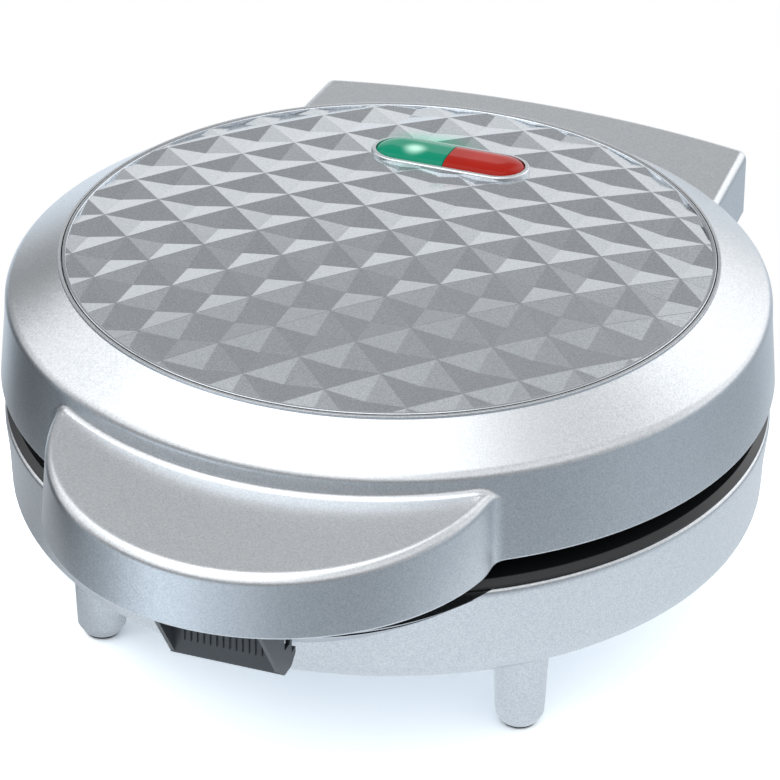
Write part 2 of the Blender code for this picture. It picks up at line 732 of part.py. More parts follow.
def foot_pad():
    """Return one rubber foot pad with its stem at the origin."""
    return turned("pad", [
        (0.0, PAD_HEIGHT + STEM_LENGTH),
        (STEM_RADIUS, PAD_HEIGHT + STEM_LENGTH),
        (STEM_RADIUS, PAD_HEIGHT),
        (PAD_RADIUS, PAD_HEIGHT),
        (PAD_RADIUS, PAD_EDGE),
        (PAD_RADIUS - PAD_EDGE, 0.0),
        (0.0, 0.0),
    ], PAD_STEPS)


def cavity_places():
    """Return the centres of the bubble cavities, on a hexagonal grid."""
    row_step = CAVITY_PITCH * math.sin(HEX_TURN)
    field = (PLATE_RADIUS - RIDGE_WIDTH) * FIELD_SHARE
    reach = math.ceil(field / row_step)
    places = []
    for row in range(-reach, reach + 1):
        for column in range(-reach - reach, reach + reach + 1):
            x = CAVITY_PITCH * (column + HALF * (row % PAIR))
            y = row_step * row
            if math.hypot(x, y) + CAVITY_RADIUS <= field + CAVITY_RADIUS - mouth_radius():
                places.append((x, y))
    return places


def mouth_radius():
    """Return the radius of a bubble cavity at the level of the webs."""
    return math.sqrt(CAVITY_RADIUS ** PAIR - (CAVITY_RADIUS - CAVITY_DEPTH) ** PAIR)


def cooking_plate(name, rim, steps):
    """Return a plate that lies cavities up, from the turned points of its flange's edge."""
    web = MATING_PLANE - HALF * WEB_GAP
    ridge = MATING_PLANE - HALF * RIDGE_GAP
    flange_low = LOWER_FLANGE_TOP - FLANGE_THICKNESS
    plate = turned(name, [
        (0.0, web),
        (PLATE_RADIUS - RIDGE_WIDTH, web),
        (PLATE_RADIUS - RIDGE_WIDTH, ridge),
        (PLATE_RADIUS, ridge),
        (PLATE_RADIUS, LOWER_FLANGE_TOP),
        *rim,
        (PLATE_RADIUS, flange_low),
        (PLATE_RADIUS, web - PLATE_THICKNESS),
        (0.0, web - PLATE_THICKNESS),
    ], steps)
    bm = bmesh.new()
    for x, y in cavity_places():
        centre = Matrix.Translation((x, y, web + CAVITY_RADIUS - CAVITY_DEPTH))
        bmesh.ops.create_uvsphere(
            bm, u_segments=CAVITY_SPOKES, v_segments=CAVITY_RINGS, radius=CAVITY_RADIUS, matrix=centre,
        )
    cut(plate, from_bmesh("cavities", bm))
    for x, y in screw_places():
        cut(plate, rod(
            "screw_hole", SCREW_HOLE_RADIUS, (x, y, flange_low - OVERRUN),
            (x, y, LOWER_FLANGE_TOP + OVERRUN), SMALL_STEPS,
        ))
    return plate


def lower_plate():
    """Return the plate in the base, whose flange ends in a drip edge over the bowl's rim."""
    low = BASE_RIM + FIT
    return cooking_plate("lower_cooking_plate", [
        (LOWER_FLANGE_RADIUS, LOWER_FLANGE_TOP),
        (DRIP_EDGE_RADIUS, low + DRIP_EDGE_HEIGHT),
        (DRIP_EDGE_RADIUS, low),
    ], DRIP_STEPS)


def upper_plate():
    """Return the plate in the lid, turned over to face the lower one."""
    plate = cooking_plate("upper_cooking_plate", [
        (UPPER_FLANGE_RADIUS, LOWER_FLANGE_TOP),
        (UPPER_FLANGE_RADIUS, LOWER_FLANGE_TOP - FLANGE_THICKNESS),
    ], PLATE_STEPS)
    return turned_over(plate, MATING_PLANE)


def shield_floor():
    """Return the height of the lower heat shield's floor, below the heating element."""
    back = MATING_PLANE - HALF * WEB_GAP - PLATE_THICKNESS
    return back - FIT - ELEMENT_TUBE - ELEMENT_TUBE - ELEMENT_SHIELD_GAP


def heat_shield(name):
    """Return the sheet metal pan that hangs between the plate's flange and the housing."""
    top = BASE_RIM
    floor = shield_floor()
    sheet = SHIELD_THICKNESS
    pan = turned(name, [
        (0.0, floor),
        (SHIELD_RADIUS - SHIELD_CORNER - sheet, floor),
        (SHIELD_RADIUS - sheet, floor + SHIELD_CORNER),
        (SHIELD_RADIUS - sheet, top),
        (SHIELD_FLANGE_RADIUS, top),
        (SHIELD_FLANGE_RADIUS, top - sheet),
        (SHIELD_RADIUS, top - sheet),
        (SHIELD_RADIUS, floor + SHIELD_CORNER),
        (SHIELD_RADIUS - SHIELD_CORNER, floor - sheet),
        (0.0, floor - sheet),
    ], SHIELD_STEPS)
    for x, y in screw_places():
        cut(pan, rod(
            "screw_hole", SCREW_HOLE_RADIUS, (x, y, top - OVERRUN), (x, y, top + OVERRUN), SMALL_STEPS,
        ))
    for side in (-1, 1):
        height = floor + ELEMENT_SHIELD_GAP + ELEMENT_TUBE
        cut(pan, rod(
            "lead_hole", LEAD_HOLE_RADIUS, (side * ELEMENT_LEAD_SPREAD, SHIELD_RADIUS - OVERRUN, height),
            (side * ELEMENT_LEAD_SPREAD, SHIELD_RADIUS + OVERRUN, height), SMALL_STEPS,
        ))
    return pan


def heating_element(name):
    """Return the tubular element, a ring under the plate with two leads to the rear."""
    height = shield_floor() + ELEMENT_SHIELD_GAP + ELEMENT_TUBE
    spread = ELEMENT_LEAD_SPREAD
    bend = ELEMENT_BEND
    bend_x = spread + bend
    bend_y = math.sqrt((ELEMENT_RADIUS + bend) ** PAIR - bend_x ** PAIR)
    meet = math.atan2(bend_y, bend_x)
    lead = [(spread, ELEMENT_LEAD_END), (spread, HALF * (ELEMENT_LEAD_END + bend_y))]
    turn = arc((bend_x, bend_y), bend, HALF_TURN, meet + HALF_TURN, BEND_STEPS)
    ring = arc((0.0, 0.0), ELEMENT_RADIUS, meet, -HALF_TURN - meet, ELEMENT_STEPS)[1:-1]
    right = lead + turn
    left = [(-x, y) for x, y in reversed(right)]
    curve = bpy.data.curves.new(name, "CURVE")
    curve.dimensions = "3D"
    curve.bevel_depth = ELEMENT_TUBE
    curve.bevel_resolution = PAIR
    curve.use_fill_caps = True
    path = right + ring + left
    spline = curve.splines.new("POLY")
    spline.points.add(len(path) - 1)
    for point, (x, y) in zip(spline.points, path):
        point.co = (x, y, height, 1.0)
    return meshed(linked(name, curve))


def plate_screw():
    """Return a pan head screw whose head seats on the lower plate's flange, at the origin."""
    head_low = LOWER_FLANGE_TOP + FIT
    return turned("screw", [
        (0.0, head_low + SCREW_HEAD),
        (SCREW_HEAD_RADIUS - SCREW_HEAD_EDGE, head_low + SCREW_HEAD),
        (SCREW_HEAD_RADIUS, head_low + SCREW_HEAD - SCREW_HEAD_EDGE),
        (SCREW_HEAD_RADIUS, head_low),
        (SCREW_RADIUS, head_low),
        (SCREW_RADIUS, LOWER_FLANGE_TOP - PLATE_SCREW_LENGTH),
        (0.0, LOWER_FLANGE_TOP - PLATE_SCREW_LENGTH),
    ], SMALL_STEPS)


def shoulder_line(radius, inset):
    """Return the height of the shoulder's slope at a radius, lowered by an inset."""
    return PANEL_EDGE - SHOULDER_SLOPE * (radius - PANEL_RADIUS) - inset * math.hypot(1.0, SHOULDER_SLOPE)


def lid_outer():
    """Return the lid's outer form as a full solid."""
    lip = PANEL_RADIUS + FIT
    return turned("lid_shell", [
        (0.0, PANEL_EDGE),
        (lip + LIP_WIDTH, PANEL_EDGE),
        (lip + LIP_WIDTH, shoulder_line(lip + LIP_WIDTH, 0.0)),
        *rounded([
            (lip + LIP_WIDTH, shoulder_line(lip + LIP_WIDTH, 0.0), 0.0),
            (BODY_RADIUS, SHOULDER_LOW, SHOULDER_FILLET),
            (LID_EDGE_RADIUS, LID_EDGE, 0.0),
        ])[1:-1],
        (LID_EDGE_RADIUS, LID_EDGE + RIM_EDGE),
        (LID_EDGE_RADIUS - HALF * RIM_EDGE, LID_EDGE),
        (0.0, LID_EDGE),
    ])


def lid_hollow():
    """Return the heater chamber inside the lid, open up through the panel's seat."""
    throat = PANEL_RADIUS - PANEL_LEDGE
    inner = BODY_RADIUS - WALL
    seat = panel_seat()
    ledge_root = PANEL_RADIUS + (shoulder_line(PANEL_RADIUS, WALL) - seat + WALL) / SHOULDER_SLOPE
    return turned("lid_hollow", [
        (0.0, seat + OVERRUN),
        (throat, seat + OVERRUN),
        (throat, seat - WALL),
        (ledge_root, seat - WALL),
        *rounded([
            (ledge_root, seat - WALL, 0.0),
            (inner, shoulder_line(inner, WALL), SHOULDER_FILLET - HALF * WALL),
            (LID_EDGE_RADIUS - WALL, LID_EDGE, 0.0),
        ], COARSE_TURN)[1:-1],
        (LID_EDGE_RADIUS - WALL, LID_EDGE),
        (LID_EDGE_RADIUS - WALL, LID_EDGE - OVERRUN),
        (0.0, LID_EDGE - OVERRUN),
    ], INNER_STEPS)


def lid_core():
    """Return a round solid whose side runs inside the lid's wall, near its inner face."""
    margin = WALL - ROOT
    low = LID_EDGE - HANDLE_SKIRT_LOW - OVERRUN
    return turned("lid_core", [
        (0.0, PANEL_EDGE),
        (BODY_RADIUS - margin, SHOULDER_LOW),
        (LID_EDGE_RADIUS - margin, LID_EDGE),
        (LID_EDGE_RADIUS - margin, low),
        (0.0, low),
    ])


def panel_recess():
    """Return the round recess that the top panel lies in."""
    return rod(
        "recess", PANEL_RADIUS + FIT, (0.0, 0.0, panel_seat()), (0.0, 0.0, PANEL_EDGE + OVERRUN), BODY_STEPS,
    )


def panel_seat():
    """Return the height of the ledge that the top panel's rim stands on."""
    return PANEL_EDGE - PANEL_THICKNESS - DIAMOND_DEPTH - FIT


def handle_top(y, inset):
    """Return the height of the upper handle's sloping top at a depth."""
    back = LID_EDGE - HANDLE_SKIRT_LOW + HANDLE_BACK_HEIGHT
    return back + HANDLE_SLOPE * (y + HALF * (BODY_RADIUS + HANDLE_CENTRE)) - inset


def upper_handle(inset, low):
    """Return the upper handle's round block with its sloping top, drawn in by a wall thickness."""
    high = handle_top(0.0, 0.0)
    handle = rod(
        "upper_handle", HANDLE_RADIUS - inset, (0.0, 0.0, low), (0.0, 0.0, high),
        HANDLE_STEPS, HANDLE_RADIUS - HANDLE_DRAFT - inset,
    )
    for vert in handle.data.vertices:
        vert.co.y -= HANDLE_CENTRE
        if vert.co.z > high - WELD:
            vert.co.z = handle_top(vert.co.y, inset)
    return handle


def upper_handle_rim(edge):
    """Tell whether an edge runs round the upper handle's sloping top."""
    heights = [abs(vert.co.z - handle_top(vert.co.y, 0.0)) for vert in edge.verts]
    return creases(edge) and max(heights) < WELD


def block_outline(inset):
    """Return the hinge block's plan outline, with its rear edge a shallow arc."""
    rear_half = BLOCK_REAR_HALF - inset
    radius = (BLOCK_REAR_HALF ** PAIR + BLOCK_BOW ** PAIR) / (BLOCK_BOW + BLOCK_BOW)
    spread = math.asin(rear_half / radius)
    centre = (0.0, BLOCK_REAR - radius - inset)
    rear = arc(centre, radius, QUARTER_TURN - spread, QUARTER_TURN + spread, BLOCK_REAR_STEPS)
    corner_radius = BLOCK_CORNER_RADIUS - HALF * inset
    corners = [(-BLOCK_FRONT_HALF + inset, BLOCK_FRONT, 0.0), (BLOCK_FRONT_HALF - inset, BLOCK_FRONT, 0.0)]
    corners.append((*rear[0], corner_radius))
    corners += [(x, y, 0.0) for x, y in rear[1:-1]]
    corners.append((*rear[-1], corner_radius))
    return rounded(corners)


def hinge_block(inset, low):
    """Return the lid's hinge block, drawn in by a wall thickness."""
    return slab("hinge_block", [block_outline(inset)], low, BLOCK_TOP - inset)


def hinge_lug(side):
    """Return one lug inside the hinge block, beside the ear that it turns on."""
    first = EAR_INNER + EAR_THICKNESS + RUNNING_FIT
    barrel = arc((HINGE_BACK, HINGE_HEIGHT), LUG_HALF_DEPTH, -HALF_TURN, 0.0, SMALL_STEPS)
    outline = [(HINGE_BACK + LUG_HALF_DEPTH, BLOCK_TOP - WALL + ROOT)]
    outline += [(HINGE_BACK - LUG_HALF_DEPTH, BLOCK_TOP - WALL + ROOT), *barrel]
    lug = sideways("lug", outline, side * first, side * (first + LUG_THICKNESS))
    return cut(lug, rod(
        "pin_hole", HINGE_PIN_RADIUS + FIT, (side * (first - OVERRUN), HINGE_BACK, HINGE_HEIGHT),
        (side * (first + LUG_THICKNESS + OVERRUN), HINGE_BACK, HINGE_HEIGHT),
    ))


def latch_bracket(side):
    """Return one bracket inside the upper handle that carries the latch pin."""
    first = HALF * LATCH_WIDTH + RUNNING_FIT
    top = handle_top(-LATCH_PIN_BACK, HANDLE_WALL - ROOT)
    bracket = box(
        "bracket",
        (min(side * first, side * (first + BRACKET_THICKNESS)),
         -LATCH_PIN_BACK - BRACKET_HALF_DEPTH, LATCH_PIN_HEIGHT - BRACKET_DROP),
        (max(side * first, side * (first + BRACKET_THICKNESS)), -LATCH_PIN_BACK + BRACKET_HALF_DEPTH, top),
    )
    return cut(bracket, rod(
        "pin_hole", LATCH_PIN_RADIUS + FIT,
        (side * (first - OVERRUN), -LATCH_PIN_BACK, LATCH_PIN_HEIGHT),
        (side * (first + BRACKET_THICKNESS + OVERRUN), -LATCH_PIN_BACK, LATCH_PIN_HEIGHT), SMALL_STEPS,
    ))


def cover_screw_places():
    """Return where the two screws of the handle's cover sit."""
    return [(side * COVER_SCREW_SPREAD, -COVER_SCREW_REACH) for side in (-1, 1)]


def cover_low():
    """Return the height of the handle cover's underside."""
    return LID_EDGE - HANDLE_SKIRT_LOW + COVER_RECESS


def lid_shell():
    """Return the lid's housing: wall, shoulder, handle and hinge block, with its bosses."""
    skirt_low = LID_EDGE - HANDLE_SKIRT_LOW
    shell = cut(lid_outer(), lid_hollow(), panel_recess())
    block = bevelled(hinge_block(0.0, LID_EDGE), rim_of(BLOCK_TOP), BLOCK_EDGE, BLOCK_EDGE_STEPS)
    handle = bevelled(upper_handle(0.0, skirt_low), upper_handle_rim, HANDLE_FILLET)
    joined(shell, cut(handle, lid_core()), cut(block, lid_core()))
    inner_handle = cut(upper_handle(HANDLE_WALL, skirt_low - OVERRUN), lid_outer())
    inner_block = cut(hinge_block(WALL, LID_EDGE - OVERRUN), lid_outer())
    cut(shell, inner_handle, inner_block)
    for side in (-1, 1):
        joined(shell, hinge_lug(side), latch_bracket(side))
    flange_top = turned_height(LOWER_FLANGE_TOP - FLANGE_THICKNESS)
    boss_low = flange_top + FIT + SHIELD_THICKNESS + FIT
    for x, y in screw_places():
        boss_high = shoulder_line(PLATE_SCREW_CIRCLE + BOSS_RADIUS, WALL - ROOT)
        joined(shell, rod("boss", BOSS_RADIUS, (-x, y, boss_low), (-x, y, boss_high)))
        cut(shell, rod(
            "screw_hole", SCREW_HOLE_RADIUS, (-x, y, boss_low - OVERRUN),
            (-x, y, turned_height(LOWER_FLANGE_TOP - PLATE_SCREW_LENGTH - FIT)), SMALL_STEPS,
        ))
    for x, y in cover_screw_places():
        low = cover_low() + COVER_THICKNESS + FIT
        joined(shell, rod("boss", COVER_BOSS_RADIUS, (x, y, low), (x, y, handle_top(y, HANDLE_WALL - ROOT))))
        cut(shell, rod(
            "screw_hole", SCREW_HOLE_RADIUS, (x, y, low - OVERRUN),
            (x, y, cover_low() + COVER_SCREW_LENGTH + FIT), SMALL_STEPS,
        ))
    return shell


def turned_height(height):
    """Return the height that mirrors another one about the plane where the plates meet."""
    return MATING_PLANE + MATING_PLANE - height


def top_panel():
    """Return the domed panel whose diamonds are sunken four-sided facets inside a thin rim."""
    cells = math.ceil(PANEL_RADIUS / DIAMOND_SIDE)
    bm = bmesh.new()
    bmesh.ops.create_grid(
        bm, x_segments=cells + cells, y_segments=cells + cells, size=cells * DIAMOND_SIDE,
        matrix=Matrix.Rotation(HALF * QUARTER_TURN, 4, "Z"),
    )
    for vert in bm.verts:
        share = (vert.co.x ** PAIR + vert.co.y ** PAIR) / PANEL_RADIUS ** PAIR
        vert.co.z = PANEL_EDGE + PANEL_DOME * (1.0 - share)
    panel = from_bmesh("top_panel", bm)
    solidify = panel.modifiers.new("thickness", "SOLIDIFY")
    solidify.thickness = PANEL_THICKNESS + DIAMOND_DEPTH
    solidify.offset = -1.0
    bake(panel)
    bm = bmesh.new()
    bm.from_mesh(panel.data)
    top_faces = [face for face in bm.faces if face.normal.z > UPWARD_SHARE]
    bmesh.ops.poke(bm, faces=top_faces, offset=-DIAMOND_DEPTH)
    bm.to_mesh(panel.data)
    bm.free()
    kept_inside(panel, rod(
        "disc", PANEL_RADIUS, (0.0, 0.0, panel_seat() - OVERRUN), (0.0, 0.0, PANEL_EDGE + PANEL_DOME + OVERRUN),
        BODY_STEPS,
    ))
    return cut(panel, on_dome(pill("pill_hole", BEZEL_RADIUS + FIT, -OVERRUN, OVERRUN)))


def pill_outline(radius):
    """Return a long round-ended outline for the indicator."""
    right = arc((PILL_HALF_SPAN, 0.0), radius, -QUARTER_TURN, QUARTER_TURN, PILL_ARC_STEPS)
    left = arc((-PILL_HALF_SPAN, 0.0), radius, QUARTER_TURN, QUARTER_TURN + HALF_TURN, PILL_ARC_STEPS)
    return right + left


def pill(name, radius, low, high):
    """Return a solid of the indicator's outline, with heights counted from the panel's surface."""
    return slab(name, [pill_outline(radius)], low, high)


def on_dome(obj):
    """Lay an object made at the origin on the dome, where the indicator sits."""
    height = PANEL_EDGE + PANEL_DOME * (1.0 - (PILL_BACK / PANEL_RADIUS) ** PAIR)
    tilt = -math.atan(PANEL_DOME * PILL_BACK * PAIR / PANEL_RADIUS ** PAIR)
    obj.data.transform(Matrix.Translation((0.0, PILL_BACK, height)) @ Matrix.Rotation(tilt, 4, "X"))
    return obj


def bezel_flange_top():
    """Return how far below the panel's surface the bezel's flange starts, past the dome's fall."""
    reach = PILL_HALF_SPAN + BEZEL_FLANGE_RADIUS
    fall = PANEL_DOME * (reach / PANEL_RADIUS) ** PAIR
    return -PANEL_THICKNESS - DIAMOND_DEPTH - fall - FIT


def indicator_bezel():
    """Return the frame of the indicator, with a flange behind the panel."""
    flange_top = bezel_flange_top()
    low = flange_top - BEZEL_FLANGE
    bezel = bevelled(
        pill("indicator_bezel", BEZEL_RADIUS, low, BEZEL_PROUD), rim_of(BEZEL_PROUD), BEZEL_EDGE, CHAMFER_STEPS,
    )
    joined(bezel, pill("flange", BEZEL_FLANGE_RADIUS, low, flange_top))
    return on_dome(cut(bezel, pill("window", LENS_RADIUS + FIT, low - OVERRUN, BEZEL_PROUD + OVERRUN)))


def lens(name, side):
    """Return one half of the indicator's pair of domed lenses."""
    low = bezel_flange_top()
    gap = HALF * FIT
    outline = arc((PILL_HALF_SPAN, 0.0), LENS_RADIUS, -QUARTER_TURN, QUARTER_TURN, PILL_ARC_STEPS)
    outline += [(gap, LENS_RADIUS), (gap, -LENS_RADIUS)]
    piece = slab(name, [outline], low, LENS_PROUD)

    def outer_rim(edge):
        on_joint = all(vert.co.x < gap + WELD for vert in edge.verts)
        return rim_of(LENS_PROUD)(edge) and not on_joint

    bevelled(piece, outer_rim, LENS_EDGE)
    if side < 0:
        piece.data.transform(Matrix.Rotation(HALF_TURN, 4, "Z"))
    return on_dome(piece)


def lamp(name, side):
    """Return one glow lamp, lying under its lens."""
    height = bezel_flange_top() - BEZEL_FLANGE - FIT - LAMP_RADIUS
    half = HALF * LAMP_LENGTH
    bulb = rod(
        name, LAMP_RADIUS, (side * LAMP_OFFSET - half, 0.0, height), (side * LAMP_OFFSET + half, 0.0, height),
        SMALL_STEPS,
    )
    return on_dome(bevelled(bulb, creases, HALF * LAMP_RADIUS, CHAMFER_STEPS))


def lamp_holder():
    """Return the carrier behind the bezel with a saddle under each lamp."""
    lamp_axis = bezel_flange_top() - BEZEL_FLANGE - FIT - LAMP_RADIUS
    top = lamp_axis - LAMP_RADIUS - FIT
    holder = pill("lamp_holder", BEZEL_FLANGE_RADIUS, top - HOLDER_THICKNESS, top)
    wall_outer = pill("wall", BEZEL_FLANGE_RADIUS, top - ROOT, bezel_flange_top() - BEZEL_FLANGE - FIT)
    inside = pill("inside", BEZEL_FLANGE_RADIUS - HOLDER_MARGIN, top, OVERRUN)
    joined(holder, wall_outer)
    cut(holder, inside)
    return on_dome(holder)


def handle_cover():
    """Return the plate that closes the upper handle from below, open where the latch swings."""
    low = cover_low()
    high = low + COVER_THICKNESS
    cover = kept_inside(
        upper_handle(HANDLE_WALL + FIT, LID_EDGE - HANDLE_SKIRT_LOW - OVERRUN),
        box("level", (-HANDLE_RADIUS, -FRONT_REACH, low), (HANDLE_RADIUS, 0.0, high)),
    )
    clear = LATCH_CHEEK_REACH + NOTCH_CLEARANCE + LATCH_SWING_ROOM
    slot_half = HALF * LATCH_WIDTH + RUNNING_FIT
    cut(
        cover,
        rod(
            "lid_wall", LID_EDGE_RADIUS + FIT, (0.0, 0.0, low - OVERRUN), (0.0, 0.0, high + OVERRUN), BODY_STEPS,
        ),
        box(
            "slot", (-slot_half, -LATCH_FRONT - clear, low - OVERRUN),
            (slot_half, -LID_EDGE_RADIUS, high + OVERRUN),
        ),
    )
    for x, y in cover_screw_places():
        cut(cover, rod(
            "screw_hole", SCREW_HOLE_RADIUS, (x, y, low - OVERRUN), (x, y, high + OVERRUN), SMALL_STEPS,
        ))
    return cover


def cover_screw():
    """Return a screw that holds the handle's cover, at the origin."""
    head_high = cover_low() - FIT
    return turned("cover_screw", [
        (0.0, cover_low() + COVER_SCREW_LENGTH),
        (SCREW_RADIUS, cover_low() + COVER_SCREW_LENGTH),
        (SCREW_RADIUS, head_high),
        (SCREW_HEAD_RADIUS, head_high),
        (SCREW_HEAD_RADIUS, head_high - SCREW_HEAD + SCREW_HEAD_EDGE),
        (SCREW_HEAD_RADIUS - SCREW_HEAD_EDGE, head_high - SCREW_HEAD),
        (0.0, head_high - SCREW_HEAD),
    ], SMALL_STEPS)


def latch():
    """Return the latch: a ribbed finger wall between two cheeks, with a hook and a pin barrel."""
    half = HALF * LATCH_WIDTH
    back = LATCH_FRONT - LATCH_PLATE
    body = sideways("latch", rounded([
        (-LATCH_FRONT, LATCH_PIN_HEIGHT, 0.0),
        (-LATCH_FRONT, LATCH_LEDGE_HEIGHT, LATCH_LEDGE_RADIUS),
        (-LATCH_FRONT + LATCH_PLATE, LATCH_BOTTOM, LATCH_LEDGE_RADIUS),
        (-HOOK_REACH - HOOK_NOSE, LATCH_BOTTOM, LATCH_LEDGE_RADIUS),
        (-HOOK_REACH, LATCH_LEDGE_HEIGHT, 0.0),
        (-HOOK_REACH, HOOK_TOP, 0.0),
        (-back, HOOK_ROOT_HEIGHT, 0.0),
        (-back, LATCH_PIN_HEIGHT, 0.0),
    ]), -half, half)
    pin_y, pin_z = -LATCH_PIN_BACK, LATCH_PIN_HEIGHT
    joined(body, rod("barrel", LATCH_BARREL, (-half, pin_y, pin_z), (half, pin_y, pin_z)))
    cheek = [
        (-LATCH_FRONT - LATCH_CHEEK_REACH, LATCH_CHEEK_TOP),
        (-LATCH_FRONT - LATCH_CHEEK_REACH, LATCH_CHEEK_TOP - LATCH_CHEEK_NOSE),
        (-LATCH_FRONT, LATCH_LEDGE_HEIGHT + LATCH_LEDGE_RADIUS),
        (-back - ROOT, LATCH_LEDGE_HEIGHT + LATCH_LEDGE_RADIUS),
        (-back - ROOT, LATCH_PIN_HEIGHT),
        (-LATCH_FRONT - ROOT, LATCH_PIN_HEIGHT),
    ]
    for side in (-1, 1):
        joined(body, sideways("cheek", cheek, side * (half - LATCH_CHEEK_WALL), side * half))
    count = math.floor((LATCH_WIDTH - LATCH_RIB_MARGIN - LATCH_RIB_MARGIN) / LATCH_RIB_PITCH) + 1
    first = -HALF * LATCH_RIB_PITCH * (count - 1)
    for index in range(count):
        x = first + LATCH_RIB_PITCH * index
        joined(body, box(
            "rib",
            (x - HALF * LATCH_RIB_WIDTH, -LATCH_FRONT - LATCH_RIB_DEPTH, LATCH_RIB_FOOT),
            (x + HALF * LATCH_RIB_WIDTH, -LATCH_FRONT + ROOT, LATCH_CHEEK_TOP),
        ))
    cut(body, rod(
        "pin_hole", LATCH_PIN_RADIUS + FIT, (-half - OVERRUN, pin_y, pin_z), (half + OVERRUN, pin_y, pin_z),
        SMALL_STEPS,
    ))
    return body


def latch_pin():
    """Return the pin through the latch and its two brackets."""
    half = HALF * LATCH_WIDTH + RUNNING_FIT + BRACKET_THICKNESS + PIN_TAIL
    return rod(
        "latch_pin", LATCH_PIN_RADIUS, (-half, -LATCH_PIN_BACK, LATCH_PIN_HEIGHT),
        (half, -LATCH_PIN_BACK, LATCH_PIN_HEIGHT), SMALL_STEPS,
    )


def hinge_pin(name, side):
    """Return one headed hinge pin, pushed through the ear and the lug from inside."""
    end = EAR_INNER + EAR_THICKNESS + RUNNING_FIT + LUG_THICKNESS + PIN_TAIL
    head = EAR_INNER - FIT
    pin = rod(
        name, HINGE_PIN_RADIUS, (side * (head - HALF * PIN_HEAD), HINGE_BACK, HINGE_HEIGHT),
        (side * end, HINGE_BACK, HINGE_HEIGHT),
    )
    return joined(pin, rod(
        "head", PIN_HEAD_RADIUS, (side * (head - PIN_HEAD), HINGE_BACK, HINGE_HEIGHT),
        (side * head, HINGE_BACK, HINGE_HEIGHT),
    ))


def thermostat():
    """Return the button thermostat that touches the lower plate's back."""
    back = MATING_PLANE - HALF * WEB_GAP - PLATE_THICKNESS
    low = shield_floor() + FIT
    high = back - FIT
    return turned("thermostat", [
        (0.0, high),
        (THERMOSTAT_CAP, high),
        (THERMOSTAT_CAP, high - THERMOSTAT_CAP_HEIGHT),
        (THERMOSTAT_RADIUS, high - THERMOSTAT_CAP_HEIGHT),
        (THERMOSTAT_RADIUS, low),
        (0.0, low),
    ], POST_STEPS)


def thermal_fuse():
    """Return the thermal fuse that lies on the lower heat shield."""
    height = shield_floor() + FIT + FUSE_RADIUS
    half = HALF * FUSE_LENGTH
    fuse = rod(
        "thermal_fuse", FUSE_RADIUS, (-half, FUSE_CENTRE, height), (half, FUSE_CENTRE, height), SMALL_STEPS,
    )
    return bevelled(fuse, creases, HALF * FUSE_RADIUS, CHAMFER_STEPS)


def terminal_block():
    """Return the terminal block on the wiring box's floor, grooved between its poles."""
    low = BOX_LOW + WALL + FIT
    half = HALF * TERMINAL_LENGTH
    block = bevelled(box(
        "terminal_block", (-half, TERMINAL_BACK - HALF * TERMINAL_DEPTH, low),
        (half, TERMINAL_BACK + HALF * TERMINAL_DEPTH, low + TERMINAL_HEIGHT),
    ), creases, TERMINAL_EDGE, CHAMFER_STEPS)
    pole = TERMINAL_LENGTH / TERMINAL_POLES
    for index in range(1, TERMINAL_POLES):
        x = pole * index - half
        cut(block, box(
            "groove",
            (x - HALF * TERMINAL_GROOVE, BOX_FRONT, low + HALF * TERMINAL_HEIGHT),
            (x + HALF * TERMINAL_GROOVE, BOX_BACK, low + TERMINAL_HEIGHT + OVERRUN),
        ))
    return block


def cord_gland():
    """Return the rubber gland in the wiring box's rear wall, open right through."""
    inner = BOX_BACK - WALL - GLAND_TAIL
    face = BOX_BACK + FIT
    gland = rod("cord_gland", GLAND_RADIUS, (0.0, inner, GLAND_HEIGHT), (0.0, face + HALF * FIT, GLAND_HEIGHT))
    joined(gland, rod(
        "flange", GLAND_FLANGE_RADIUS, (0.0, face, GLAND_HEIGHT), (0.0, face + GLAND_FLANGE, GLAND_HEIGHT),
    ))
    return cut(gland, rod(
        "bore", GLAND_BORE, (0.0, inner - OVERRUN, GLAND_HEIGHT), (0.0, face + GLAND_FLANGE + OVERRUN, GLAND_HEIGHT),
        SMALL_STEPS,
    ))


def finishes():
    """Return the materials by name."""
    return {
        "silver": Finish("silver_plastic", (0.56, 0.60, 0.64), 0.35, 0.45),
        "panel": Finish("panel_plastic", (0.42, 0.43, 0.45), 0.3, 0.5),
        "coating": Finish("nonstick_coating", (0.035, 0.036, 0.04), 0.45, 0.2),
        "steel": Finish("sheet_steel", (0.6, 0.6, 0.58), 0.35, 1.0),
        "element": Finish("element_sheath", (0.2, 0.2, 0.19), 0.5, 0.8),
        "grey": Finish("dark_grey_plastic", (0.045, 0.052, 0.058), 0.5, 0.0),
        "rubber": Finish("foot_rubber", (0.05, 0.055, 0.06), 0.8, 0.0),
        "green": Finish("green_lens", (0.0, 0.3, 0.17), 0.15, 0.0),
        "red": Finish("red_lens", (0.4, 0.02, 0.02), 0.15, 0.0),
        "glass": Finish("lamp_glass", (0.8, 0.75, 0.65), 0.1, 0.0),
        "ceramic": Finish("switch_ceramic", (0.75, 0.72, 0.66), 0.6, 0.0),
    }


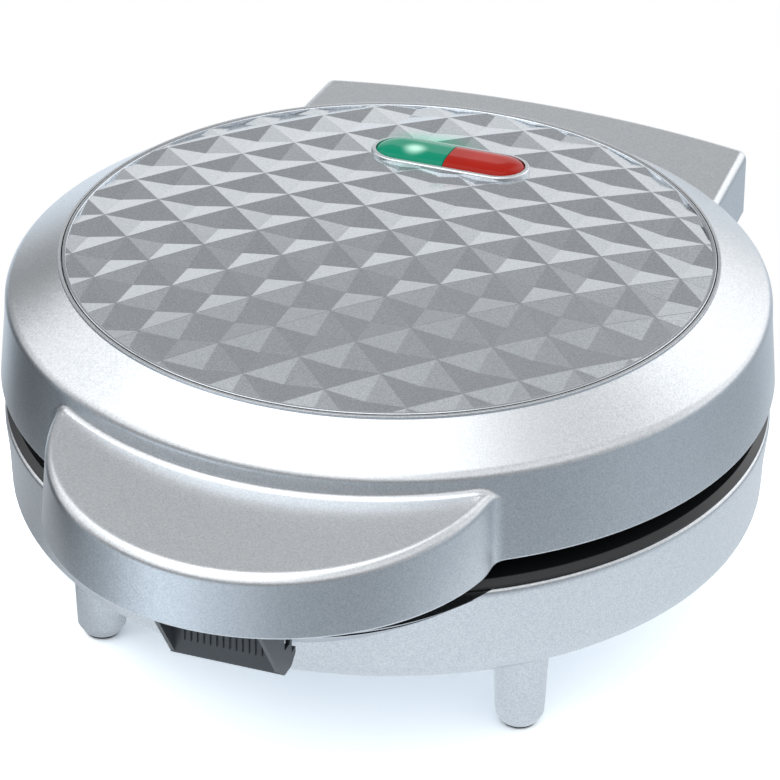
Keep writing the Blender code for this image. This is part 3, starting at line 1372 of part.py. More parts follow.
def main():
    """Build every piece, hang it on its frame and give it its material."""
    clear_scene()
    parts = bpy.data.collections.new("bubble_waffle_maker")
    bpy.context.scene.collection.children.link(parts)
    colours = finishes()
    base_frame = linked("base_frame", None)
    base_frame.location = (0.0, BODY_BACK, 0.0)
    lid_hinge = linked("lid_hinge", None)
    lid_hinge.location = (0.0, BODY_BACK + HINGE_BACK, HINGE_HEIGHT)
    hinge = Vector((0.0, HINGE_BACK, HINGE_HEIGHT))
    pin = Vector((0.0, -LATCH_PIN_BACK, LATCH_PIN_HEIGHT))

    def place(obj, name, finish, frame, origin, sharp=SMOOTH_ANGLE):
        """Name a piece, shift its own origin, and hang it on a frame."""
        obj.name = name
        obj.data.name = name
        obj.data.materials.clear()
        obj.data.materials.append(colours[finish].material)
        merge_flat_faces(obj.data)
        obj.data.transform(Matrix.Translation(-origin))
        obj.data.shade_smooth()
        obj.data.set_sharp_from_angle(angle=sharp)
        obj.parent = frame
        obj.location = origin - (hinge if frame is lid_hinge else Vector((0.0, 0.0, 0.0)))
        bpy.context.scene.collection.objects.unlink(obj)
        parts.objects.link(obj)

    def in_base(obj, name, finish):
        """Hang a piece on the base."""
        place(obj, name, finish, base_frame, Vector((0.0, 0.0, 0.0)))

    def in_lid(obj, name, finish, sharp=SMOOTH_ANGLE):
        """Hang a piece on the lid."""
        place(obj, name, finish, lid_hinge, hinge, sharp)

    in_base(base_shell(), "base_shell", "silver")
    for name, (x, y) in zip(("front_left", "front_right", "rear_left", "rear_right"), foot_places()):
        in_base(moved(foot_pad(), (x, y, 0.0)), "foot_pad_" + name, "rubber")
    in_base(lower_plate(), "lower_cooking_plate", "coating")
    in_base(heat_shield("lower_heat_shield"), "lower_heat_shield", "steel")
    in_base(heating_element("lower_heating_element"), "lower_heating_element", "element")
    in_base(thermostat(), "thermostat", "ceramic")
    in_base(thermal_fuse(), "thermal_fuse", "ceramic")
    in_base(terminal_block(), "terminal_block", "ceramic")
    in_base(cord_gland(), "cord_gland", "rubber")
    in_base(hinge_pin("hinge_pin_left", -1), "hinge_pin_left", "steel")
    in_base(hinge_pin("hinge_pin_right", 1), "hinge_pin_right", "steel")
    for index, (x, y) in enumerate(screw_places(), 1):
        in_base(moved(plate_screw(), (x, y, 0.0)), f"lower_plate_screw_{index}", "steel")

    in_lid(lid_shell(), "lid_shell", "silver")
    in_lid(top_panel(), "top_panel", "panel", FACET_ANGLE)
    in_lid(indicator_bezel(), "indicator_bezel", "panel")
    in_lid(lens("green_lens", -1), "green_lens", "green")
    in_lid(lens("red_lens", 1), "red_lens", "red")
    in_lid(lamp("green_lamp", -1), "green_lamp", "glass")
    in_lid(lamp("red_lamp", 1), "red_lamp", "glass")
    in_lid(lamp_holder(), "lamp_holder", "ceramic")
    in_lid(upper_plate(), "upper_cooking_plate", "coating")
    in_lid(turned_over(heat_shield("upper_heat_shield"), MATING_PLANE), "upper_heat_shield", "steel")
    in_lid(turned_over(heating_element("upper_heating_element"), MATING_PLANE), "upper_heating_element", "element")
    for index, (x, y) in enumerate(screw_places(), 1):
        screw = turned_over(moved(plate_screw(), (x, y, 0.0)), MATING_PLANE)
        in_lid(screw, f"upper_plate_screw_{index}", "steel")
    in_lid(handle_cover(), "handle_cover", "silver")
    for name, (x, y) in zip(("left", "right"), cover_screw_places()):
        in_lid(moved(cover_screw(), (x, y, 0.0)), "handle_cover_screw_" + name, "steel")
    in_lid(latch_pin(), "latch_pin", "steel")
    place(latch(), "latch", "grey", lid_hinge, pin)


main()
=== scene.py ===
"""Looks of the bubble waffle maker: finer shells, finishes, studio light and camera.

Shapes are modelled in millimetres about the round body's axis, with heights counted from the
table, and each finished piece is then brought to metres and to its place in the frame.
"""

import logging
import math
from dataclasses import dataclass
from enum import Enum
from typing import Any, Callable, Sequence

import bmesh
import bpy
from mathutils import Matrix, Vector


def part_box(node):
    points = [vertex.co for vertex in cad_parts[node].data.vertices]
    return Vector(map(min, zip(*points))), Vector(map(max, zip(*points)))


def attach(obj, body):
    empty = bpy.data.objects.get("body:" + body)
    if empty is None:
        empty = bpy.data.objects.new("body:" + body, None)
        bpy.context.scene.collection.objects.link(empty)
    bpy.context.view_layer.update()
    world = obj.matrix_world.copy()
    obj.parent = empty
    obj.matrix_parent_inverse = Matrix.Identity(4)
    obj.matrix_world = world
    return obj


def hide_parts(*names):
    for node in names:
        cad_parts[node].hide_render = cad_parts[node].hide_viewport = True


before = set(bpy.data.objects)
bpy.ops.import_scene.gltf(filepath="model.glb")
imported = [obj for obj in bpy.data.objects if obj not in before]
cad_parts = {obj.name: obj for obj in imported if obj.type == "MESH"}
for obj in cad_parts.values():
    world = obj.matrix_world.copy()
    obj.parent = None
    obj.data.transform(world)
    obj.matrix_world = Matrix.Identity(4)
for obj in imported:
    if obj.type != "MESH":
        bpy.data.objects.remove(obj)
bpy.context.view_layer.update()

LOG = logging.getLogger("waffle_maker")
MM = 0.001
FULL_TURN = math.tau
HALF_TURN = math.pi
QUARTER_TURN = HALF_TURN / 2
# Strips in full turns, of large and small pieces, and in arcs.
ROUND_STEPS = 192
SMALL_STEPS = 48
ARC_STEPS = 24
LONG_ARC_STEPS = 32
# Edges that turn by more than this stay sharp and can be rounded.
SHARP_TURN = math.radians(32)
# Points closer than this are one point.
WELD = 0.002
# Gap between pieces, reach of a cutting shape past the surface, and depth of a root in the piece it joins.
FIT = 0.3
OVERRUN = 6.0
ROOT = 0.6

Point = tuple[float, float]
Triple = tuple[float, float, float]
Solid = bpy.types.Object
Edge = bmesh.types.BMEdge
EdgeTest = Callable[[Edge], bool]
Tree = bpy.types.NodeTree
Node = bpy.types.Node
Socket = bpy.types.NodeSocket


class Cut(Enum):
    """How a tool shape works on a piece."""

    JOIN = "UNION"
    AWAY = "DIFFERENCE"
    KEEP = "INTERSECT"


def body_axis() -> Vector:
    """Return the foot of the round body's axis in the frame, from the panel's box."""
    low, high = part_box("top_panel")
    return Vector(((low[0] + high[0]) / 2, (low[1] + high[1]) / 2, 0.0))


AXIS = body_axis()


# ---------------------------------------------------------------- modelling by hand


def deselect() -> None:
    """Deselect every object."""
    bpy.ops.object.select_all(action="DESELECT")


def choose(piece: Solid) -> None:
    """Make a piece the only selected and active object.

    Args:
        piece: The piece.
    """
    deselect()
    piece.select_set(True)
    bpy.context.view_layer.objects.active = piece


def open_mesh(piece: Solid, action: str = "SELECT") -> None:
    """Open a piece in edit mode and select its whole mesh, or none of it with another action.

    Args:
        piece: The piece.
        action: Blender's name of the way to select.
    """
    choose(piece)
    bpy.ops.object.mode_set(mode="EDIT")
    bpy.ops.mesh.select_all(action=action)


def close_mesh() -> None:
    """Go back to object mode."""
    bpy.ops.object.mode_set(mode="OBJECT")


def settled(name: str) -> Solid:
    """Name the piece that was just added and write its place into its mesh.

    Args:
        name: Name of the new piece.

    Returns:
        The piece.
    """
    piece = bpy.context.object
    piece.name = name
    bpy.ops.object.transform_apply(location=True, rotation=True, scale=True)
    return piece


def moved(piece: Solid, place: Sequence[float], turn: Sequence[float] = (0.0, 0.0, 0.0)) -> Solid:
    """Turn and move a piece and write that into its mesh.

    Args:
        piece: The piece.
        place: Where its origin goes.
        turn: Its turn about X, Y and Z.

    Returns:
        The same piece.
    """
    choose(piece)
    piece.rotation_euler = turn
    piece.location = place
    bpy.ops.object.transform_apply(location=True, rotation=True, scale=True)
    return piece


def traced(name: str, points: Sequence[Sequence[float]], filled: bool) -> Solid:
    """Trace an outline by extruding one vertex from point to point.

    Args:
        name: Name of the new piece.
        points: Places that the outline passes, in order.
        filled: Whether the outline is closed by a face.

    Returns:
        The traced piece, in object mode.
    """
    deselect()
    bpy.ops.mesh.primitive_plane_add(size=1.0)
    piece = bpy.context.object
    piece.name = name
    open_mesh(piece)
    bpy.ops.mesh.merge(type="CENTER")
    bpy.ops.transform.translate(value=points[0])
    for before, after in zip(points, points[1:]):
        step = Vector(after) - Vector(before)
        bpy.ops.mesh.extrude_vertices_move(TRANSFORM_OT_translate={"value": step})
    if filled:
        bpy.ops.mesh.select_all(action="SELECT")
        bpy.ops.mesh.edge_face_add()
    close_mesh()
    return piece


def tidied(piece: Solid) -> Solid:
    """Weld doubled points of a piece and turn its faces outward.

    Args:
        piece: The piece.

    Returns:
        The same piece.
    """
    open_mesh(piece)
    bpy.ops.mesh.remove_doubles(threshold=WELD)
    bpy.ops.mesh.dissolve_degenerate(threshold=WELD)
    bpy.ops.mesh.select_all(action="SELECT")
    bpy.ops.mesh.normals_make_consistent(inside=False)
    close_mesh()
    return piece


def turned(name: str, profile: Sequence[Point], steps: int = ROUND_STEPS) -> Solid:
    """Spin a profile of (radius, height) points round the upright axis.

    Args:
        name: Name of the new piece.
        profile: The profile's points.
        steps: Number of strips round it.

    Returns:
        The turned piece.
    """
    piece = traced(name, [(radius, 0.0, height) for radius, height in profile], filled=False)
    open_mesh(piece)
    if profile[0][0] > 0:
        bpy.ops.mesh.edge_face_add()
        bpy.ops.mesh.delete(type="ONLY_FACE")
        bpy.ops.mesh.select_all(action="SELECT")
    bpy.ops.mesh.spin(steps=steps, angle=FULL_TURN, center=(0.0, 0.0, 0.0), axis=(0.0, 0.0, 1.0))
    close_mesh()
    return tidied(piece)


def thickened(piece: Solid, step: Triple) -> Solid:
    """Give an open surface thickness by extruding all of it by a step.

    Args:
        piece: The piece.
        step: How far it is extruded, and which way.

    Returns:
        The same piece.
    """
    open_mesh(piece)
    bpy.ops.mesh.extrude_region_move(TRANSFORM_OT_translate={"value": step})
    close_mesh()
    return tidied(piece)


def slab(name: str, outline: Sequence[Point], low: float, high: float) -> Solid:
    """Give a flat outline thickness between two heights."""
    return thickened(traced(name, [(x, y, low) for x, y in outline], filled=True), (0.0, 0.0, high - low))


def sideways(name: str, outline: Sequence[Point], left: float, right: float) -> Solid:
    """Give an outline of (y, z) points thickness between two places along X."""
    return thickened(traced(name, [(left, y, z) for y, z in outline], filled=True), (right - left, 0.0, 0.0))


def side_ends(side: int, first: float, last: float) -> list[float]:
    """Return two places along X on the left (-1) or right (1) side, in rising order."""
    return sorted((side * first, side * last))


def block(name: str, low: Sequence[float], high: Sequence[float]) -> Solid:
    """Return a straight block between two opposite corners.

    Args:
        name: Name of the new piece.
        low: The lowest corner.
        high: The highest corner.

    Returns:
        The block.
    """
    deselect()
    middle = (Vector(low) + Vector(high)) / 2
    bpy.ops.mesh.primitive_cube_add(size=1.0, location=middle, scale=Vector(high) - Vector(low))
    return settled(name)


def rod(name: str, radius: float, start: Sequence[float], end: Sequence[float],
        steps: int = SMALL_STEPS, end_radius: float | None = None) -> Solid:
    """Return a round bar, or a cone if an end radius is given.

    Args:
        name: Name of the new piece.
        radius: Radius at the start.
        start: Middle of the first end.
        end: Middle of the last end.
        steps: Number of faces round it.
        end_radius: Radius at the end, if it differs.

    Returns:
        The bar, with its place in its mesh.
    """
    deselect()
    along = Vector(end) - Vector(start)
    turn = Vector((0.0, 0.0, 1.0)).rotation_difference(along).to_euler()
    bpy.ops.mesh.primitive_cone_add(
        vertices=steps, radius1=radius, radius2=radius if end_radius is None else end_radius,
        depth=along.length, location=(Vector(start) + Vector(end)) / 2, rotation=turn,
    )
    return settled(name)


def worked(piece: Solid, tool: Solid, how: Cut) -> Solid:
    """Work a piece with a tool shape and use the tool up.

    Args:
        piece: The piece.
        tool: The tool shape.
        how: What the tool does.

    Returns:
        The same piece.
    """
    choose(piece)
    cutter = piece.modifiers.new("cutter", "BOOLEAN")
    cutter.operation = how.value
    cutter.solver = "EXACT"
    cutter.object = tool
    bpy.ops.object.modifier_apply(modifier=cutter.name)
    bpy.data.objects.remove(tool, do_unlink=True)
    return tidied(piece)


def joined(piece: Solid, *tools: Solid) -> Solid:
    """Fuse the tool shapes with a piece.

    Args:
        piece: The piece.
        tools: The tool shapes.

    Returns:
        The same piece.
    """
    for tool in tools:
        worked(piece, tool, Cut.JOIN)
    return piece


def cut(piece: Solid, *tools: Solid) -> Solid:
    """Cut the tool shapes out of a piece.

    Args:
        piece: The piece.
        tools: The tool shapes.

    Returns:
        The same piece.
    """
    for tool in tools:
        worked(piece, tool, Cut.AWAY)
    return piece


def copied(piece: Solid, name: str, offset: Sequence[float]) -> Solid:
    """Return a copy of a piece with its own mesh, moved by an offset.

    Args:
        piece: The piece.
        name: Name of the new piece.
        offset: How far the copy is moved.

    Returns:
        The copy.
    """
    choose(piece)
    bpy.ops.object.duplicate(linked=False)
    copy = bpy.context.object
    copy.name = name
    return moved(copy, offset)


def turned_over(piece: Solid, height: float) -> Solid:
    """Turn a piece over about a level line from front to back at a height."""
    return moved(piece, (0.0, 0.0, 2 * height), (0.0, HALF_TURN, 0.0))


def eased(piece: Solid, width: float, chosen: EdgeTest, segments: int = 4) -> Solid:
    """Round the edges that a test chooses.

    Args:
        piece: The piece to work on.
        width: How far the rounding reaches from the edge.
        chosen: Tells for each edge whether it is rounded.
        segments: Number of strips in the rounding.

    Returns:
        The same piece.
    """
    open_mesh(piece, "DESELECT")
    bpy.ops.mesh.select_mode(type="EDGE")
    mesh = bmesh.from_edit_mesh(piece.data)
    for edge in mesh.edges:
        if chosen(edge):
            edge.select_set(True)
    bmesh.update_edit_mesh(piece.data)
    bpy.ops.mesh.bevel(offset=width, offset_type="OFFSET", segments=segments, profile=0.5, clamp_overlap=True)
    bpy.ops.mesh.select_mode(type="VERT")
    close_mesh()
    return tidied(piece)


def is_crease(edge: Edge) -> bool:
    """Tell whether two faces meet at an edge at a clear angle."""
    return len(edge.link_faces) == 2 and edge.calc_face_angle() > SHARP_TURN


def rim_at(height: float) -> EdgeTest:
    """Return a test for sharp edges that lie at a height.

    Args:
        height: Height of the rim.

    Returns:
        The test.
    """
    def test(edge: Edge) -> bool:
        """Tell whether both ends lie at the height."""
        return is_crease(edge) and all(abs(vert.co.z - height) < 2 * WELD for vert in edge.verts)
    return test


def arc(centre: Point, radius: float, first: float, last: float, steps: int) -> list[Point]:
    """Return points along a circular arc, both ends included."""
    turns = [first + (last - first) * step / steps for step in range(steps + 1)]
    return [(centre[0] + radius * math.cos(turn), centre[1] + radius * math.sin(turn)) for turn in turns]


def rounded(corners: Sequence[Triple], steps: int = 8) -> list[Point]:
    """Replace each (u, v, radius) corner of an outline by an arc.

    Args:
        corners: The outline's corners, a radius of 0 keeping a corner sharp.
        steps: Number of strips in each arc.

    Returns:
        The outline's points.
    """
    outline: list[Point] = []
    for index, (u, v, radius) in enumerate(corners):
        if radius == 0:
            outline.append((u, v))
            continue
        corner = Vector((u, v))
        before = (Vector(corners[index - 1][:2]) - corner).normalized()
        after = (Vector(corners[(index + 1) % len(corners)][:2]) - corner).normalized()
        half_angle = before.angle(after) / 2
        centre = corner + (before + after).normalized() * radius / math.sin(half_angle)
        start = corner + before * radius / math.tan(half_angle) - centre
        finish = corner + after * radius / math.tan(half_angle) - centre
        first = math.atan2(start.y, start.x)
        sweep = (math.atan2(finish.y, finish.x) - first + HALF_TURN) % FULL_TURN - HALF_TURN
        outline += arc(tuple(centre), radius, first, first + sweep, steps)
    return outline


# ---------------------------------------------------------------- nodes


def linear(code: str) -> tuple[float, float, float, float]:
    """Turn an sRGB hex colour into linear values.

    Args:
        code: The colour, as # and six hex digits.

    Returns:
        Red, green, blue and opacity.
    """
    shares = [int(code[place:place + 2], 16) / 255 for place in (1, 3, 5)]
    values = [share / 12.92 if share <= 0.04045 else ((share + 0.055) / 1.055) ** 2.4 for share in shares]
    return (*values, 1.0)


def grey(tone: float) -> tuple[float, float, float, float]:
    """Return a linear grey."""
    return (tone, tone, tone, 1.0)


def add_node(tree: Tree, kind: str, settings: dict | None = None, inputs: dict | None = None) -> Node:
    """Add a node with its settings and its input values or links.

    Args:
        tree: The node tree that gets the node.
        kind: Blender's name of the node's kind.
        settings: Property values by name.
        inputs: For each input socket, a value or the output socket that feeds it.

    Returns:
        The new node.
    """
    node = tree.nodes.new(kind)
    for key, value in (settings or {}).items():
        setattr(node, key, value)
    for key, value in (inputs or {}).items():
        if isinstance(value, Socket):
            tree.links.new(value, node.inputs[key])
        else:
            node.inputs[key].default_value = value
    return node


def calculated(tree: Tree, operation: str, *values: Any) -> Socket:
    """Add a math node on values or sockets, in its order of inputs, and return its result."""
    node = add_node(tree, "ShaderNodeMath", {"operation": operation}, dict(enumerate(values)))
    return node.outputs["Value"]


def vector_node(tree: Tree, operation: str, *values: Any) -> Node:
    """Add a vector math node on values or sockets, in its order of inputs."""
    return add_node(tree, "ShaderNodeVectorMath", {"operation": operation}, dict(enumerate(values)))


def blended(tree: Tree, share: Any, first: Any, second: Any) -> Socket:
    """Mix two colours by a share and return the result."""
    node = add_node(tree, "ShaderNodeMix", {"data_type": "RGBA"}, {"Factor": share, "A": first, "B": second})
    return node.outputs["Result"]


def remapped(tree: Tree, value: Socket, given: Point, wanted: Point, easing: str = "LINEAR") -> Socket:
    """Map a value from one range to another.

    Args:
        tree: The node tree that gets the node.
        value: The value's socket.
        given: The range that the value has.
        wanted: The range that it gets.
        easing: Blender's name of the interpolation.

    Returns:
        The mapped value's socket.
    """
    node = add_node(tree, "ShaderNodeMapRange", {"interpolation_type": easing}, {
        "Value": value, "From Min": given[0], "From Max": given[1], "To Min": wanted[0], "To Max": wanted[1],
    })
    return node.outputs["Result"]


def fading(tree: Tree, place: Socket, middle: Triple, reach: Point, share: float, easing: str) -> Socket:
    """Return a share that fades to nothing away from a place.

    Args:
        tree: The node tree that gets the nodes.
        place: Socket of the shaded place.
        middle: Where the share is greatest, in millimetres about the body's axis.
        reach: Distances in millimetres where the fading starts and ends.
        share: The greatest share.
        easing: Blender's name of the interpolation.

    Returns:
        The share's socket.
    """
    away = vector_node(tree, "DISTANCE", place, AXIS + Vector(middle) * MM)
    return remapped(tree, away.outputs["Value"], (reach[0] * MM, reach[1] * MM), (share, 0.0), easing)


def pattern(tree: Tree, kind: str, place: Socket, size: float, **more: float) -> Node:
    """Add a texture node whose pattern repeats once in a size in millimetres."""
    return add_node(tree, kind, inputs={"Vector": place, "Scale": 1 / (size * MM), **more})


def raised(tree: Tree, shader: Node, heights: Socket, depth: float) -> None:
    """Raise a surface by a pattern, up to a depth in millimetres.

    Args:
        tree: The material's node tree.
        shader: The material's shader.
        heights: Socket of the pattern.
        depth: The depth in millimetres.
    """
    bump = add_node(tree, "ShaderNodeBump", inputs={
        "Height": heights, "Distance": depth * MM, "Strength": 1.0,
    })
    tree.links.new(bump.outputs["Normal"], shader.inputs["Normal"])


# ---------------------------------------------------------------- finishes


@dataclass(frozen=True)
class Finish:
    """A surface: what it is made of and how its nodes are set."""

    name: str
    colour: str
    roughness: float
    metallic: float = 0.0
    specular: float = 0.5

    def material(self) -> bpy.types.Material:
        """Return the finish's material, made on first use.

        Returns:
            The material.
        """
        found = bpy.data.materials.get(self.name)
        if found:
            return found
        made = bpy.data.materials.new(self.name)
        made.use_nodes = True
        tree = made.node_tree
        shader = tree.nodes["Principled BSDF"]
        shader.inputs["Base Color"].default_value = linear(self.colour)
        shader.inputs["Roughness"].default_value = self.roughness
        shader.inputs["Metallic"].default_value = self.metallic
        shader.inputs["Specular IOR Level"].default_value = self.specular
        self.dress(tree, shader, add_node(tree, "ShaderNodeTexCoord").outputs["Object"])
        return made

    def dress(self, tree: Tree, shader: Node, place: Socket) -> None:
        """Add the finish's own grain; a plain finish has none."""


@dataclass(frozen=True)
class FlakePaint(Finish):
    """Silver lacquer with aluminium flakes, sprayed on moulded ABS.

    The flakes lie nearly flat, each tilted a little, which breaks reflections into a fine
    glitter. Real flakes are far finer than a pixel, so they are drawn coarser.
    """

    flake: float = 0.3
    tilt: float = 0.03
    shade: str = "#C2C7CC"

    def dress(self, tree: Tree, shader: Node, place: Socket) -> None:
        """Tilt the surface flake by flake and vary its tone.

        Args:
            tree: The node tree that gets the nodes.
            shader: The material's shader.
            place: Socket of the shaded place.
        """
        flakes = pattern(tree, "ShaderNodeTexVoronoi", place, self.flake)
        centred = vector_node(tree, "SUBTRACT", flakes.outputs["Color"], (0.5, 0.5, 0.5))
        scaled = add_node(tree, "ShaderNodeVectorMath", {"operation": "SCALE"}, {
            0: centred.outputs["Vector"], "Scale": self.tilt,
        })
        surface = add_node(tree, "ShaderNodeNewGeometry")
        tilted = vector_node(tree, "ADD", surface.outputs["Normal"], scaled.outputs["Vector"])
        facing = vector_node(tree, "NORMALIZE", tilted.outputs["Vector"])
        tone = add_node(tree, "ShaderNodeSeparateColor", inputs={"Color": flakes.outputs["Color"]})
        mixed = blended(tree, tone.outputs["Red"], linear(self.shade), linear(self.colour))
        tree.links.new(facing.outputs["Vector"], shader.inputs["Normal"])
        tree.links.new(mixed, shader.inputs["Base Color"])


@dataclass(frozen=True)
class LitPaint(FlakePaint):
    """The lacquer beside a lit lens, with the lens's coloured light painted on it as a tint and a glow."""

    lit: str = "#22B890"
    lit_place: Triple = (-8.5, 53.5, 105.5)
    lit_start: float = 2.0
    lit_reach: float = 18.0
    lit_share: float = 0.85
    lit_strength: float = 0.3

    def dress(self, tree: Tree, shader: Node, place: Socket) -> None:
        """Paint the lens's light on the flakes as a tint and a glow, fading with distance.

        Args:
            tree: The node tree that gets the nodes.
            shader: The material's shader.
            place: Socket of the shaded place.
        """
        super().dress(tree, shader, place)
        reach = (self.lit_start, self.lit_reach)
        # Painted light: a green tint and glow in the lacquer's colour and emission, fading away from the
        # lens's place.
        near = fading(tree, place, self.lit_place, reach, self.lit_share, "SMOOTHSTEP")
        flakes = shader.inputs["Base Color"].links[0].from_socket
        tree.links.new(blended(tree, near, flakes, linear(self.lit)), shader.inputs["Base Color"])
        glow = calculated(tree, "MULTIPLY", near, self.lit_strength)
        tree.links.new(glow, shader.inputs["Emission Strength"])
        shader.inputs["Emission Color"].default_value = linear(self.lit)


@dataclass(frozen=True)
class Grained(Finish):
    """A surface with a fine grain in height and tone, such as moulded or cast ones have."""

    grain: float = 0.4
    depth: float = 0.02
    shade: str = "#000000"
    detail: float = 3.0

    def dress(self, tree: Tree, shader: Node, place: Socket) -> None:
        """Raise a fine noise and vary the tone with it.

        Args:
            tree: The node tree that gets the nodes.
            shader: The material's shader.
            place: Socket of the shaded place.
        """
        noise = pattern(tree, "ShaderNodeTexNoise", place, self.grain, Detail=self.detail)
        raised(tree, shader, noise.outputs["Fac"], self.depth)
        mixed = blended(tree, noise.outputs["Fac"], linear(self.shade), linear(self.colour))
        tree.links.new(mixed, shader.inputs["Base Color"])


@dataclass(frozen=True)
class NonStick(Finish):
    """Cast aluminium under a dark non-stick coating with pale specks."""

    speck: float = 0.9
    speck_colour: str = "#2C2E31"
    speck_core: float = 0.10
    speck_edge: float = 0.16
    peel: float = 2.0
    peel_depth: float = 0.03

    def dress(self, tree: Tree, shader: Node, place: Socket) -> None:
        """Scatter specks and give the coating its faint orange peel.

        Args:
            tree: The node tree that gets the nodes.
            shader: The material's shader.
            place: Socket of the shaded place.
        """
        cells = pattern(tree, "ShaderNodeTexVoronoi", place, self.speck)
        spots = remapped(tree, cells.outputs["Distance"], (self.speck_core, self.speck_edge), (1.0, 0.0))
        mixed = blended(tree, spots, linear(self.colour), linear(self.speck_colour))
        tree.links.new(mixed, shader.inputs["Base Color"])
        peel = pattern(tree, "ShaderNodeTexNoise", place, self.peel)
        raised(tree, shader, peel.outputs["Fac"], self.peel_depth)


@dataclass(frozen=True)
class LampLens(Finish):
    """Tinted clear plastic, moulded glossy, with a painted glow round the lamp behind it."""

    glow: str = "#FFFFFF"
    dim: str = "#000000"
    glow_place: Triple = (0.0, 0.0, 0.0)
    glow_reach: float = 6.0
    strength: float = 0.0

    def dress(self, tree: Tree, shader: Node, place: Socket) -> None:
        """Paint a glow into the tint round the lamp's place.

        Args:
            tree: The node tree that gets the nodes.
            shader: The material's shader.
            place: Socket of the shaded place.
        """
        # Painted glow: emission in the lens's own material, brightest at the lamp's place.
        near = fading(tree, place, self.glow_place, (0.0, self.glow_reach), 1.0, "SMOOTHERSTEP")
        glowing = blended(tree, near, linear(self.dim), linear(self.glow))
        tree.links.new(glowing, shader.inputs["Emission Color"])
        shader.inputs["Emission Strength"].default_value = self.strength


# Silver lacquer on the housing: broad soft highlights with a fine glitter.
HOUSING_PAINT = FlakePaint("silver_flake_lacquer", "#DADDE0", 0.31, metallic=1.0)
# The same lacquer on the faceted panel, smoother, so that each facet mirrors one tone; its colour is a little
# darker than the housing's, which is painted shade, and a little cooler. The lit lens's green light is
# painted on it as a tint and a glow.
PANEL_PAINT = LitPaint("panel_flake_lacquer_painted_shade_and_glow", "#D3D8DD", 0.15, metallic=1.0, tilt=0.012, shade="#BDC3C9")
# The housing's lacquer on the indicator's frame, beside the lit lens, with a fainter painted glow of its
# green light.
FRAME_PAINT = LitPaint("frame_flake_lacquer_painted_glow", "#DADDE0", 0.31, metallic=1.0, lit_share=0.35)
# Dark grey ABS with a fine spark-eroded grain: matt with a soft sheen.
LATCH_PLASTIC = Grained("dark_grey_abs", "#4C5257", 0.42, grain=0.35, depth=0.02, shade="#3A3F44")
# Moulded rubber: matt, a little dusty.
RUBBER = Grained("moulded_rubber", "#41454A", 0.8, grain=0.5, depth=0.03, shade="#303338")
# Coated cast aluminium of the plates: dark, satin, speckled.
PLATE_COATING = NonStick("nonstick_coating", "#1D1F21", 0.28)
# Zinc plated sheet and turned steel: greyish, with a faint mottle.
ZINC = Grained("zinc_plated_steel", "#B9BABB", 0.35, metallic=1.0, grain=1.6, depth=0.01, shade="#A4A6A8")
# Heat darkened steel tube of the heating elements.
SHEATH = Grained("heat_darkened_steel", "#6B655E", 0.45, metallic=1.0, grain=1.2, depth=0.01, shade="#4B4744")
# White steatite of the insulators: matt and faintly speckled.
STEATITE = Grained("steatite", "#DAD5CA", 0.55, grain=0.8, depth=0.01, shade="#C9C3B7")
# Clear glass of the lamps.
LAMP_GLASS = Grained("lamp_glass", "#E8E2D4", 0.1, grain=1.0, depth=0.005, shade="#D8D0C0")
# Green lens, lit from behind, as a painted glow: a pale core that fades to deep green.
GREEN_LENS = LampLens(
    "green_lens_plastic", "#006E54", 0.07, specular=0.12, glow="#E0FFF4", dim="#004435",
    glow_place=(-10.0, 47.4, 105.5), glow_reach=5.2, strength=1.3,
)
# Red lens, unlit, with a faint painted glow that lightens it round its middle.
RED_LENS = LampLens(
    "red_lens_plastic", "#98180B", 0.07, specular=0.12, glow="#C0483C",
    glow_place=(9.5, 50.0, 105.0), glow_reach=9.0, strength=0.12,
)


# ---------------------------------------------------------------- the object


class Piece:
    """Shared steps that finish a piece of a sub-assembly."""

    @staticmethod
    def placed(piece: Solid, finish: Finish, body: str, slot: str, nodes: Sequence[str],
               turn: float = SHARP_TURN) -> None:
        """Bring a piece to metres and its place, dress it and tie it to the frame.

        Args:
            piece: The piece, modelled in millimetres.
            finish: Its finish.
            body: The CAD body that it rides on.
            slot: The record's material slot; not used.
            nodes: The CAD nodes that it stands for.
            turn: Angle above which an edge stays sharp.
        """
        choose(piece)
        piece.scale = (MM, MM, MM)
        piece.location = AXIS
        bpy.ops.object.transform_apply(location=True, rotation=True, scale=True)
        bpy.ops.object.shade_smooth_by_angle(angle=turn)
        weighted = piece.modifiers.new("weighted", "WEIGHTED_NORMAL")
        weighted.keep_sharp = True
        bpy.ops.object.modifier_apply(modifier=weighted.name)
        piece.data.materials.clear()
        piece.data.materials.append(finish.material())
        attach(piece, body)
        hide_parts(*nodes)
        LOG.info("%s: %d faces, for %s", piece.name, len(piece.data.polygons), ", ".join(nodes))


@dataclass(frozen=True)
class Pin:
    """A pin that lies across: its depth and height, and its radius."""

    y: float
    z: float
    radius: float

    def bar(self, name: str, radius: float, left: float, right: float) -> Solid:
        """Return a round bar about the pin's line between two places along X."""
        return rod(name, radius, (left, self.y, self.z), (right, self.y, self.z))

    def bored(self, form: Solid, left: float, right: float) -> Solid:
        """Bore the pin's hole through a form that reaches between two places along X."""
        return cut(form, self.bar("pin_hole", self.radius + FIT, left - OVERRUN, right + OVERRUN))


HINGE_PIN = Pin(119.0, 66.0, 3.0)
LATCH_PIN = Pin(-119.4, 72.4, 1.5)


